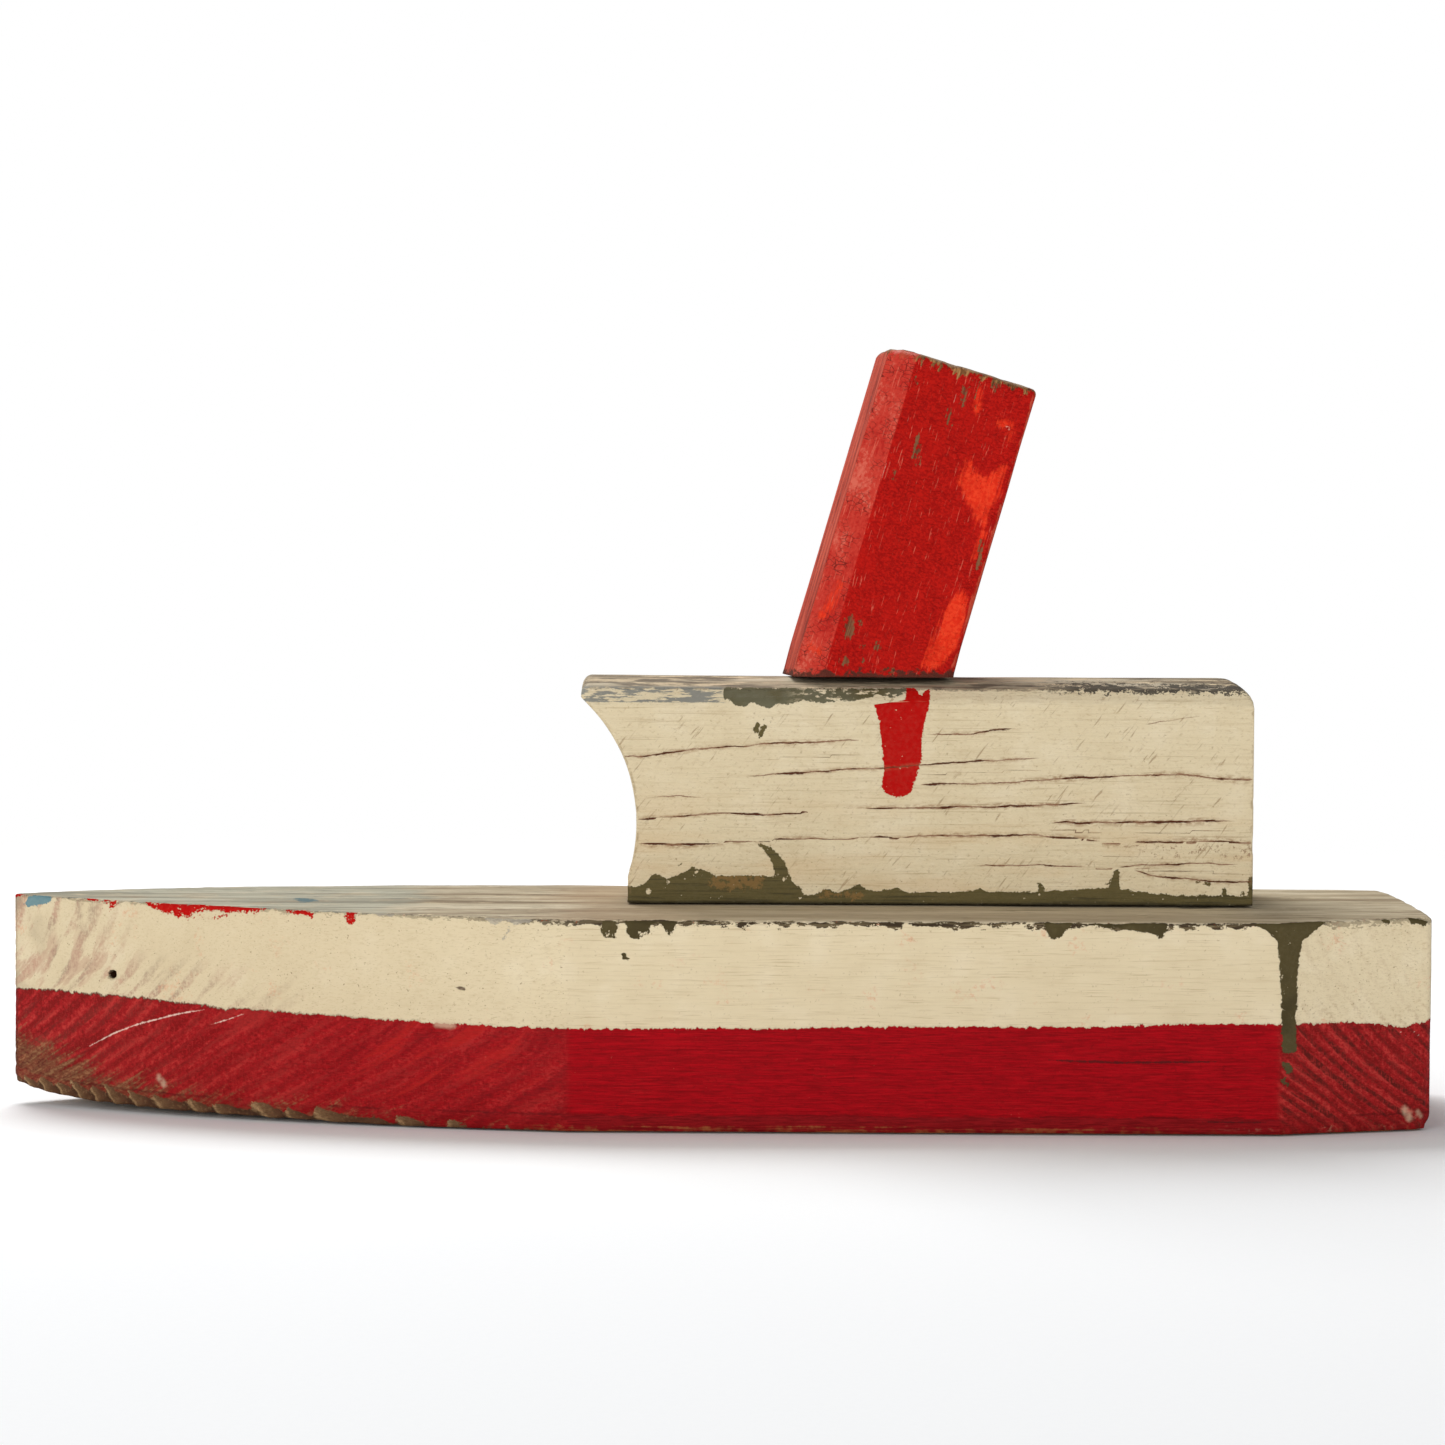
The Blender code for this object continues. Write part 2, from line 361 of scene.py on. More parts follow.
SCRATCHES = [
    (0.13, [(-125.8, 12.6), (-120, 15.8), (-114.7, 18), (-106.1, 20.5), (-100.8, 21.6)]),
    (0.09, [(-99.5, 18.6), (-96, 19.8), (-92.4, 21.2)]),
]
CREASES = [(0.20, [(66.0, 14.6), (80.0, 14.2), (99.0, 14.5)]), (0.16, [(96.0, 2.7), (109.0, 2.6)])]


def thin_lines(x, z, lines):
    """The signed height over the nearest of some thin lines, and half that line's width."""
    gap = np.full(len(x), 9.0)
    width = np.full(len(x), -1.0)
    for size, line in lines:
        places = [place for place, _ in line]
        inside = np.minimum(x - places[0], places[-1] - x)
        near_gap = z - along(x, line)
        closer = (inside > -3) & (np.abs(near_gap) < np.abs(gap))
        gap = np.where(closer, near_gap, gap)
        width = np.where(closer, size * smooth(inside, -0.5, 4.0) - smooth(-inside, 0, 1.5), width)
    return gap, width


def hull_marks(x, y, z, over_deck):
    """Fields of the marks on the hull's sides, in the (x, z) plane. They end at the deck's edge."""
    olive = strokes(x, z, [
        [(-20, 41.6, 0.8), (-20.4, 39.6, 0.9), (-20, 38.4, 0.4)],
        [(-18.4, 41.6, 0.5), (-18.6, 39.4, 0.6), (-18.4, 38, 0.3)],
        [(-14.6, 41.4, 1.9), (-15, 39.4, 1.2), (-14.4, 38, 0.5)],
        [(-12, 41.8, 1.4), (-12.8, 40, 0.9), (-12.4, 38.9, 0.4)],
        [(-10, 41.9, 0.6)],
        [(-8, 41.5, 1.7), (-7.8, 38.5, 0.3)],
        [(-6, 41.8, 0.5), (-3, 41.9, 0.4), (-1.8, 41.5, 0.5)],
        [(5.6, 42, 0.6), (6.2, 41.4, 0.4)],
        [(-16.9, 35.1, 0.35), (-16.4, 34.1, 0.6)],
        [(65.6, 41.8, 0.9), (67.2, 39.6, 1.3), (68.8, 40.6, 0.9), (70.6, 41.8, 0.6)],
        [(73.4, 41.9, 0.5), (78, 41.4, 0.8), (83, 41.1, 1.2), (88, 40.6, 1.2)],
        [(86.4, 40.6, 1.2), (87.8, 39.2, 0.6)],
        [(112, 14, 0.5), (113.2, 13.2, 0.8), (113.4, 12.4, 0.5)],
        [(112, 10.9, 0.5), (112.9, 10, 0.6)],
        [(13, 41.9, 0.25), (40, 41.8, 0.25), (62, 41.9, 0.4)],
        [(88, 42, 0.3), (105, 42, 0.4)],
        [(132, 41.7, 0.3), (133.4, 41.4, 0.5)],
        [(138.2, 41.6, 0.7), (141, 41, 0.4)],
    ])
    big_left = [
        (16.2, 111.8), (26.4, 111.4), (34.3, 111), (38.2, 110.5), (40.2, 108.4), (41.8, 104.8),
    ]
    big_right = [
        (16.2, 114.7), (22, 114.5), (34.2, 114.8), (38.1, 115.7), (39.8, 117.9), (41.6, 120.3),
    ]
    olive = np.maximum(olive, between(x, z, big_left, big_right))
    splash = strokes(x, z, [
        [(-121.6, 42.8, 0.45), (-120.9, 41.6, 0.35), (-120.8, 40.2, 0.2)],
        [(-119.6, 42.8, 0.35), (-120.6, 41.4, 0.3)],
        [
            (-113.4, 42.4, 0.2), (-111.4, 42, 0.7), (-109, 41.6, 1), (-106.4, 41.2, 1.5),
            (-102.9, 41.8, 1.1),
        ],
        [
            (-102.9, 41.9, 0.9), (-99, 42.2, 0.6), (-95.8, 42, 0.7), (-91.6, 42, 0.6),
            (-88.8, 42.1, 0.5),
        ],
        [(-104.5, 39.9, 0.1), (-100.6, 40.1, 0.2), (-96, 40.6, 0.12)],
        [(-100, 39.4, 0.15), (-98.8, 39.9, 0.15)],
        [(-83.4, 41.9, 0.3), (-80.4, 41.6, 0.4), (-78.6, 41.4, 0.2)],
        [(-126, 42.6, 0.2), (-123.6, 42.6, 0.2)], [(-142.4, 42.4, 0.3), (-140.4, 42.6, 0.2)],
        [(-70.8, 41.8, 0.85), (-70.8, 40.6, 0.95)],
    ])
    far_olive = drips(x, z, [
        (-52, 42.5, 37, 1.8, 2.4, 1.4),
        (-47.5, 42.5, 39.6, 1.2, 1.8, 1),
        (22, 42.5, 34.8, 2.2, 3.4, 1.8),
        (28, 42.5, 39, 2, 2, 1.2),
        (58, 42.5, 38.8, 1.4, 3, 1.2),
        (124, 42.5, 30, 1.8, 3.2, 1.8),
    ])
    far_splash = drips(x, z, [(-96, 43, 38.6, 1.4, 1.8, 1), (46, 42.5, 37.8, 1.2, 1, 1)])
    teal = strokes(x, z, [
        [(-139, 41.6, 0.9), (-137.4, 41.7, 1.1), (-135.2, 42.1, 0.9)],
        [(-139.8, 41, 0.4), (-138.8, 40.6, 0.4)],
    ])
    grey = strokes(x, z, [
        [(-66, 42, 0.3), (-62.6, 41.8, 0.4)],
        [(-44, 41.8, 0.4), (-42.4, 41, 0.7), (-41, 41.4, 0.5)],
        [(-40, 41.6, 0.5), (-37.6, 41, 0.7), (-35, 41.5, 0.6)],
        [(-38.6, 40.6, 0.4), (-40.6, 37, 0.12)],
    ])
    scratch = strokes(x, z, [
        [(136, 19.6, 0.06), (139.2, 17.6, 0.07)],
        [(137.6, 20.4, 0.06), (140.6, 18.4, 0.07)],
    ])
    scuff = strokes(x, z, [
        [(-110.4, 7.6, 0.5), (-109.2, 6, 0.5)],
        [(136.9, 4.4, 0.6), (138, 2.4, 0.6)],
        [(139.6, 3.8, 0.35), (140.4, 2.8, 0.3)],
        [(-53.4, 20.6, 0.7), (-50.4, 20.4, 0.7)],
    ])
    crease = strokes(x, z, [
        [(121, 41.6, 0.08), (123.6, 38, 0.07), (124.2, 37, 0.04)],
        [(-49.6, 27.9, 0.25), (-48.2, 27.5, 0.4)], [(-50.4, 28.6, 0.12)], [(-47.4, 28.6, 0.12)],
    ])
    near = y < 0
    cut = 30 * smooth(over_deck, 0.25, 0.9)
    fields = {
        "olive": np.where(near, olive, far_olive) - cut,
        "splash": np.where(near, splash, far_splash) - cut,
        "teal": np.where(near, teal, NOWHERE) - cut,
        "grey": np.where(near, grey, NOWHERE) - cut,
        "scratch": np.where(near, scratch, NOWHERE),
        "scuff": np.where(near, scuff, NOWHERE),
        "crease": np.where(near, crease, NOWHERE),
    }
    for name, lines in (("scratch", SCRATCHES), ("crease", CREASES)):
        gap, width = thin_lines(x, z, lines)
        fields[name + "_gap"] = gap
        fields[name + "_width"] = np.where(near, width, -1.0)
    return fields


WATERLINE = [
    (-142.4, 23.2), (-134, 23.5), (-115, 23.2), (-100.5, 22.4), (-97, 21.7), (-92.4, 22.1),
    (-71, 21.3), (-54.6, 20.7), (-28, 20.2), (11, 20.5), (41, 21), (71, 21), (95, 21.8),
    (126, 21.8), (132, 21.2), (136.5, 20.4), (139, 21), (142.4, 22),
]
WORN_BAND = [
    (-142.4, 1.6), (-136, 2.6), (-127, 3.1), (-119, 2.9), (-108, 2.7), (-95, 2.5), (-80, 2.3),
    (-70, 1.9), (-57, 1.3), (-44, 0.7), (-30, 0.3), (70, 0.3), (100, 0.4), (142.4, 0.5),
]
STREAKED_BAND = [
    (-142.4, 10.5), (-135, 9.6), (-127, 7.6), (-119, 5.4), (-108, 3.6), (-90, 2.4), (-60, 0),
    (-40, -2), (142.4, -2),
]


def hull_skin():
    """The hull's skin before wear: its points, its quads and each point's share of the height."""
    tack_x, tack_z = TACK_HOLE
    xs = stations(STEM_X, TRANSOM_X, 0.96, [
        (STEM_X, 2.0, 0.3), (TRANSOM_X, 2.0, 0.35), (tack_x, 1.6, 0.3),
        (SHOULDER_X, 0.6, 0.5), (STERN_CUT_X, 0.6, 0.5),
        *((nail_x, NAIL_PIT_RADIUS, 0.55) for nail_x in NAIL_XS),
    ])
    pit_share = NAIL_PIT_RADIUS / HALF_BEAM
    vs = stations(-1, 1, 0.055, [(-1, 0.03, 0.008), (1, 0.03, 0.008), (0, pit_share, 0.014)])
    tack_share = tack_z / DECK_Z
    ws = stations(0, 1, 0.0165, [(0, 0.09, 0.013), (1, 0.04, 0.007), (tack_share, 0.035, 0.008)])
    grid, quads = block(xs, vs, ws)
    x, v, w = grid.T
    half = half_breadth(x)
    keel = keel_height(x)
    y = v * half
    height = deck_height(y) - keel

    edge_points = np.stack([x, np.sign(v) * 10, w * 0], axis=1)
    edge_wear = 0.75 + 0.30 * noise(edge_points, 9.0, 3) + 0.25 * noise(edge_points, 2.6, 4)
    end_gap = np.minimum(x - STEM_X, TRANSOM_X - x)
    is_stem = x < 0
    side_gap = half * (1 - np.abs(v))
    deck_gap = height * (1 - w)
    keel_gap = height * w
    upper = w > 0.5
    lift = smooth(keel_gap, 4, 16)
    low_width = BILGE_WIDTH * (1 + 0.15 * noise(edge_points, 7.0, 5))
    side_radius = np.where(upper, edge_wear, low_width * (1 - lift) + 1.2 * lift)
    side_radius = np.minimum(side_radius, 0.9 * half)
    flat_radius = np.where(upper, edge_wear, BILGE_HEIGHT * np.clip(half / 12, 0.3, 1))
    end_radius = np.where(is_stem, 0.8, 1.3 + 2.4 * smooth(-keel_gap, -14, -2))
    flat_gap = np.where(upper, deck_gap, keel_gap)
    side_gap, flat_gap, end_gap = rounded(
        [side_gap, flat_gap, end_gap], [side_radius, flat_radius, end_radius]
    )
    x = np.where(is_stem, STEM_X + end_gap, TRANSOM_X - end_gap)
    y = np.sign(v) * (half - side_gap)
    z = np.where(upper, deck_height(y) - flat_gap, keel + flat_gap)
    points = np.stack([x, y, z], axis=1)
    return points, quads, w


def make_hull(material):
    """The hull, worn along its edges, with the fields that its paint needs."""
    points, quads, w = hull_skin()
    x, y, z = points.T
    face = outward(points, quads)
    inner = np.minimum(half_breadth(x) - np.abs(y), TRANSOM_X - x)
    keel = keel_height(x)
    under = deck_height(y) - z
    over_deck = np.minimum(inner, 20) - under
    over_keel = inner - (z - keel)
    is_side = smooth(np.abs(face[:, 2]), 0.75, 0.5)
    bow_facet = smooth(SHOULDER_X - x, -1, 1)
    stern_facet = smooth(x - STERN_CUT_X, -1, 1)
    rings = facet_rings(x, z) + 0.22 * noise(points, 24.0, 11) + 0.10 * noise(points, 7.0, 13)
    end_rings = (ring_radius(y, z) + 0.8 * noise(points, 18.0, 14)) / 2.6
    on_end = smooth(np.abs(face[:, 0]), 0.80, 0.92)
    rings = np.where(on_end > 0.5, end_rings, rings)
    wave = np.sin(2 * np.pi * rings)
    scallop = scallops(x, z - keel) + 0.55 * noise(points * [1, 0, 0.3], 8.0, 15)
    saw = np.mod(scallop, 1.0)
    crest = 0.45 + 0.75 * hashed(np.stack([scallop, scallop * 0, scallop * 0], axis=1), 16)
    fin = np.where(saw < 0.2, saw / 0.2, (1 - saw) / 0.8) * crest

    fore = smooth(-x, 20, 60)
    worn = along(x, WORN_BAND) - (z - keel) + (1.9 * fin - 1) * fore + 0.3 * noise(points, 2.6, 12)
    worn_here = smooth(worn, -0.5, 0.7) * smooth(under, 4, 8)
    streaked = along(x, STREAKED_BAND) - (z - keel)

    facet = np.maximum(bow_facet, stern_facet) * is_side
    lumps = 0.10 * fractal(points, (34, 20, 16), 3, 21)
    ridges = 0.05 * wave * facet * smooth(-x, -130, 60)
    ridges = ridges + 0.09 * wave * smooth(streaked, -1.5, 3.0) * bow_facet
    rim = smooth(-over_keel, -9, -2.5)
    wear = worn_here * (0.06 + 0.22 * (1 - fin) * fore * rim + 0.06 * noise(points, 1.9, 22))
    grain = 0.05 * fractal(points, (30, 1.6, 1.6), 2, 23) * (1 - is_side)
    dents = 0.25 * smooth(noise(points, (5, 4, 3), 24), 0.72, 0.95)
    notches = (
        smooth(noise(points, (2.4, 2.4, 2.4), 25), 0.35, 0.8)
        * smooth(-np.abs(over_deck), -1.2, -0.2)
    )
    tack_x, tack_z = TACK_HOLE
    tack = np.hypot(x - tack_x, z - tack_z + 0.15 * (tack_x - x))
    tack_pit = 2.4 * smooth(-tack, -1.0, -0.45) * (y < 0)
    shift = lumps + ridges - wear - grain - dents - 0.28 * notches - tack_pit
    pits = np.zeros(len(x))
    for nail_x in NAIL_XS:
        nail = np.hypot(x - nail_x, y)
        pits = np.maximum(pits, smooth(-nail, -NAIL_PIT_RADIUS - 0.5, -NAIL_PIT_RADIUS + 0.3))
    pits = pits * (w == 0)
    shift = np.where(pits > 0, -NAIL_PIT_DEPTH * pits, shift)
    moved = points + face * shift[:, None]
    moved = np.clip(moved, HULL_LOW + SKIN_MARGIN, HULL_HIGH - SKIN_MARGIN)
    flat_bottom = (w == 0) & (pits <= 0) & (x > STEM_X + ROCKER_LENGTH)
    moved[flat_bottom, 2] = np.minimum(moved[flat_bottom, 2], 0.25)

    fields = {
        "water": along(x, WATERLINE) - z,
        "over_deck": over_deck,
        "over_keel": over_keel,
        "above_keel": z - keel,
        "worn": worn,
        "streaked": streaked,
        "rings": rings,
        "scallop": scallop,
        "ring_place": np.stack([4.3 * rings, z, y], axis=1),
        "facet": np.maximum(facet, on_end * is_side),
        "tack": 0.9 - tack - 10 * (y > 0),
        "pit": pits,
        "smear": stroke(x, y, [(-81.0, -19.0, 0.8), (-81.4, -14.0, 2.4), (-83.4, -9.0, 1.0)]),
        **hull_marks(x, y, z, over_deck),
    }
    return make_piece("hull_wood", moved, quads, fields, material, "boat", ["hull"])


# ---------------------------------------------------------------- cabin


def roof_height(y):
    """The roof is crowned, with a bevel along each side."""
    edge = CABIN_HALF - ROOF_BEVEL
    bevel = np.clip((np.abs(y) - edge) / ROOF_BEVEL, 0, 1)
    crown = np.clip(np.abs(y) / edge, 0, 1)
    return ROOF_Z - (ROOF_Z - ROOF_EDGE_Z) * crown**2 - (ROOF_EDGE_Z - EAVE_Z) * bevel


def front_x(z):
    """The scooped front end: an arc above, straight below."""
    centre_x, centre_z = SCOOP_CENTRE
    rise = np.maximum(z, SCOOP_FOOT_Z) - centre_z
    arc = centre_x + np.sqrt(np.maximum(SCOOP_RADIUS**2 - rise**2, 0))
    return np.maximum(arc, FRONT_NOSE_X)


CRACKS = [
    (0.22, [
        (-18, 72.2), (-12.8, 72.5), (-6.6, 73.3), (-0.4, 74.2), (6.3, 74.5), (14.9, 75.1),
        (29.7, 75.9),
    ]),
    (0.18, [(6.8, 68.5), (18.3, 69.3), (24.5, 69.8), (34.5, 70.3), (48.6, 71.4), (65.8, 72.4)]),
    (0.26, [
        (42, 66.9), (60.1, 67.5), (67.8, 68.2), (82.1, 68.9), (93.6, 69.3), (102.7, 68.5),
        (108.8, 68.4),
    ]),
    (0.32, [(-14.6, 59.8), (-7, 60.4), (1.6, 61.2), (7.8, 60.8), (11.1, 60.8), (19.7, 61.4)]),
    (0.28, [
        (-14.4, 54.8), (-8, 54.8), (6.4, 55.4), (18.8, 55.9), (35.1, 56.3), (53.5, 56.9),
        (65, 57), (70.7, 56.6), (80.3, 55.4), (85.6, 55),
    ]),
    (0.44, [(85, 55.6), (96.6, 55.8), (108.8, 55.6)]),
    (0.32, [
        (25, 61.9), (28.6, 61.9), (35, 62.2), (43, 62.3), (54.9, 62.6), (64, 62.9), (75.5, 63.5),
    ]),
    (0.15, [(53, 50.9), (68.9, 51), (79.4, 50.3), (86.1, 51.1), (96.6, 51.4), (105.7, 51.4)]),
    (0.18, [(85, 49.9), (89.5, 48.9), (99, 48), (108.8, 47.9)]),
    (0.3, [(68, 59.4), (75.5, 59.6), (87, 59.7), (94.1, 59.9), (105, 59.9)]),
    (0.17, [(42.9, 77.1), (51, 77.1), (57.2, 78.2), (62.9, 78.5), (66.7, 78.8)]),
    (0.1, [(84.9, 78.8), (88.7, 79.6), (97.8, 81.1)]),
    (0.09, [(-13, 64.1), (-6.6, 64.5), (-1.3, 64.4)]),
]


def crack_fields(points, y_side, shift=0.0):
    """The signed gap to the nearest crack on one side, and how wide that crack is there."""
    x, y, z = points.T
    gap = np.full(len(x), 9.0)
    width = np.full(len(x), -1.0)
    line_points = points * [1, 0, 0] + [0, y_side * 40, 0]
    for number, (size, crack) in enumerate(CRACKS):
        places = [place + shift for place, _ in crack]
        line = np.interp(x, places, [height for _, height in crack])
        line = (
            line + 0.22 * noise(line_points + number * 11, 3.4, 31)
            + 0.1 * noise(line_points + number, 1.2, 32)
        )
        inside = np.minimum(x - places[0], places[-1] - x)
        at_end = (places[0] < -13) | (places[-1] > 108)
        swell = 0.70 + 0.55 * noise(line_points + number * 17.0, 7.0, 33)
        here = size * swell * smooth(inside, -0.5, 2.0 if at_end else 6.0) - smooth(-inside, 0, 1.2)
        near_gap = z - line
        closer = np.abs(near_gap) < np.abs(gap)
        gap = np.where(closer, near_gap, gap)
        width = np.where(closer, here, width)
    return gap, width


def cabin_skin():
    """The cabin's skin before wear: its points, its quads and each point's share of the height."""
    span = CABIN_BACK_X - FRONT_NOSE_X
    us = stations(0, span, 0.56, [(0, 2.5, 0.3), (span, 4.5, 0.35)])
    vs = stations(-CABIN_HALF, CABIN_HALF, 1.15, [
        (-CABIN_HALF, 3.4, 0.42), (CABIN_HALF, 3.4, 0.42),
    ])
    ws = stations(0, 1, 0.0118, [(1, 0.03, 0.007)])
    grid, quads = block(us, vs, ws)
    u, y, w = grid.T
    share = u / span
    roof = roof_height(y)
    z = CABIN_FOOT_Z + w * (roof - CABIN_FOOT_Z)
    edge_points = np.stack([u, np.sign(y) * 10, w * 30], axis=1)
    side_radius = 0.4 + 0.15 * noise(edge_points, 3.0, 41)
    roof_gap = roof - z
    front_gap = share * (CABIN_BACK_X - front_x(z))
    back_gap = (1 - share) * (CABIN_BACK_X - front_x(z))
    is_front = share < 0.5
    end_gap = np.where(is_front, front_gap, back_gap)
    corner = np.maximum(roof - ROOF_CORNER_Z, 0.5)
    top_radius = np.where(is_front, 1.8, corner)
    high = smooth(w, 0.75, 0.85)
    flat_radius = top_radius * high + 0.3 * (1 - high)
    end_radius = top_radius * high + 0.7 * (1 - high)
    side_gap = CABIN_HALF - np.abs(y)
    side_gap, roof_gap, end_gap = rounded([side_gap, roof_gap, end_gap], [
        side_radius, flat_radius, end_radius,
    ])
    y = np.sign(y) * (CABIN_HALF - side_gap)
    z = roof - roof_gap
    x = np.where(is_front, front_x(z) + end_gap, CABIN_BACK_X - end_gap)
    return np.stack([x, y, z], axis=1), quads, w


OLIVE_FOOT = [
    (-20, 46.4), (-15, 46.2), (-13.2, 46.8), (-11.5, 48.9), (-8.7, 47.9), (-6.5, 48.7),
    (-3.6, 50.2), (-1.2, 49.6), (1.1, 48.5), (9.8, 48.5), (15.7, 48.1), (17.9, 45.9), (18.9, 44.7),
    (21.7, 45.2), (23.7, 46), (25.6, 45.2), (28, 46.2), (29.6, 47.2), (31.3, 45.8), (34.2, 45.6),
    (37.3, 46.4), (39.9, 45.3), (52.2, 45.6), (54.1, 46.5), (55.5, 45.5), (66, 45.7), (72.7, 46),
    (79.9, 46.5), (87.1, 45.6), (91.9, 45.1), (109, 45),
]


def cabin_marks(x, y, z):
    """Fields of the marks on the cabin's sides: olive paint, red paint and a brown stain."""
    olive = np.maximum(along(x, OLIVE_FOOT) - z, strokes(x, z, [
        [
            (9.9, 54.7, 0.25), (11.8, 53.6, 0.8), (13.3, 51.6, 1.1), (14.3, 49.6, 1.3),
            (14.4, 47.5, 1.9),
        ],
        [(81, 46, 1.2), (81, 48, 0.9), (81.6, 50, 0.3)], [(79.4, 47.4, 0.3)],
        [(65.4, 47.7, 0.15), (66.4, 46.4, 0.6)], [(9.4, 78.9, 0.35), (8.9, 77.6, 0.5)],
        [(10.6, 78.4, 0.4), (9.8, 76.6, 0.35)], [(10.6, 79.9, 0.2)], [(11.9, 79.4, 0.12)],
        [(9.7, 80.6, 0.12)], [(97.4, 47.8, 0.25), (99.6, 47.4, 0.45)],
        [(102.9, 46.3, 0.35), (102.9, 45.4, 0.4)], [(108.2, 48.4, 0.4), (108.6, 45.4, 0.7)],
        [(106.6, 45.6, 0.4)], [(-4, 51.9, 0.12)], [(-6.4, 50.5, 0.12), (-5.8, 51, 0.1)],
        [(17.6, 46.6, 0.2), (18.2, 44.6, 0.2)],
    ]))
    holes = strokes(x, z, [
        [(-8.5, 47.1, 0.35)], [(-12.4, 45.4, 0.5)], [(-2.9, 49.3, 0.42)], [(14.8, 47.9, 0.35)],
        [(18, 44.2, 0.35)],
    ])
    olive = np.minimum(olive, -holes)
    eave_edge = [
        (-30, 99), (1.6, 99), (2.2, 83.8), (3.4, 84), (5, 82.5), (6.6, 82.3), (8, 83.5),
        (9.4, 82.7), (11.7, 82.1), (13.4, 83.1), (16, 82.9), (18.2, 83.9), (22, 83.3), (29, 83.8),
        (32, 84.4), (40, 84.6), (41, 99),
    ]
    eave = np.minimum(z - along(x, eave_edge), 86.1 - z)
    left = [
        (64.5, 37), (65.2, 35), (66.4, 34.1), (69.9, 34.6), (79.9, 33.6), (83.6, 32.5),
        (83.9, 38.8), (87, 39.4),
    ]
    right = [
        (64.5, 38.4), (65.2, 39.9), (68.9, 41.1), (72.3, 42.2), (75.9, 42.1), (81, 43.1),
        (85.4, 43.9), (87, 44),
    ]
    red = between(x, z, left, right)
    red = np.minimum(red, 86.1 - z - 1.3 * np.exp(-(((x - 42.0) / 0.7) ** 2)))
    far_olive = np.maximum(45.4 - z, strokes(x, z, [
        [(60, 45, 1.6), (61, 49, 0.5)], [(20, 45, 2), (24, 46.8, 1)],
        [(-14, 45, 1.8), (-8, 46.4, 1.6), (0, 45, 1)],
    ]))
    far_olive = np.maximum(far_olive, drips(x, z, [
        (30, 83.8, 80.2, 2.2, 2, 1), (72, 83.8, 81.8, 2, 3, 1),
    ]))
    stain = strokes(x, z, [
        [(1.4, 47.3, 1.5), (9.5, 47.1, 1.2)], [(22, 44.6, 0.5), (30, 44.8, 0.6)],
    ])
    near = y < 0
    return {
        "olive": np.where(near, olive, far_olive),
        "eave_olive": np.where(near, eave, NOWHERE),
        "splash": np.where(near, red, NOWHERE),
        "stain": np.where(near, stain, NOWHERE),
    }


def make_cabin(material):
    """The cabin, cracked and chipped, with the fields that its paint needs."""
    points, quads, w = cabin_skin()
    x, y, z = points.T
    face = outward(points, quads)
    is_side = smooth(np.abs(face[:, 1]), 0.8, 0.95)
    near_gap, near_width = crack_fields(points, NEAR)
    far_gap, far_width = crack_fields(points, FAR, 9.0)
    gap = np.where(y < 0, near_gap, far_gap)
    width = np.where(y < 0, near_width, far_width) * is_side - (1 - is_side)
    crack = smooth(width + 0.2 - np.abs(gap), 0, 0.4)
    lumps = 0.10 * fractal(points, (26, 16, 12), 3, 51)
    eave = smooth(-np.abs(z - EAVE_Z), -1.6, -0.2) * smooth(np.abs(y), 17, 19)
    chips = 0.16 * smooth(noise(points, (3.4, 2, 1.6), 52), 0.25, 0.75) * eave
    roof_grain = 0.09 * fractal(points, (34, 1.5, 2), 2, 53) * smooth(face[:, 2], 0.6, 0.9)
    edges = smooth(-np.minimum(CABIN_BACK_X - x, x - front_x(z)), -1.2, -0.1)
    end_chips = 0.25 * smooth(noise(points, (2, 3, 3.2), 54), 0.3, 0.8) * edges
    shift = lumps - chips - roof_grain - end_chips - 0.14 * crack
    moved = points + face * shift[:, None]
    moved = np.clip(moved, CABIN_LOW + SKIN_MARGIN, CABIN_HIGH - SKIN_MARGIN)
    fields = {
        "up": z - EAVE_Z,
        "crack_gap": gap,
        "crack_width": width,
        "end_gap": np.minimum(CABIN_BACK_X - x, x - front_x(z)),
        "foot_gap": z - CABIN_FOOT_Z,
        "is_side": is_side,
        **cabin_marks(x, y, z),
    }
    return make_piece(
        "cabin_wood", moved, quads, fields, material, "boat", ["cabin"],
    )


# ---------------------------------------------------------------- funnel


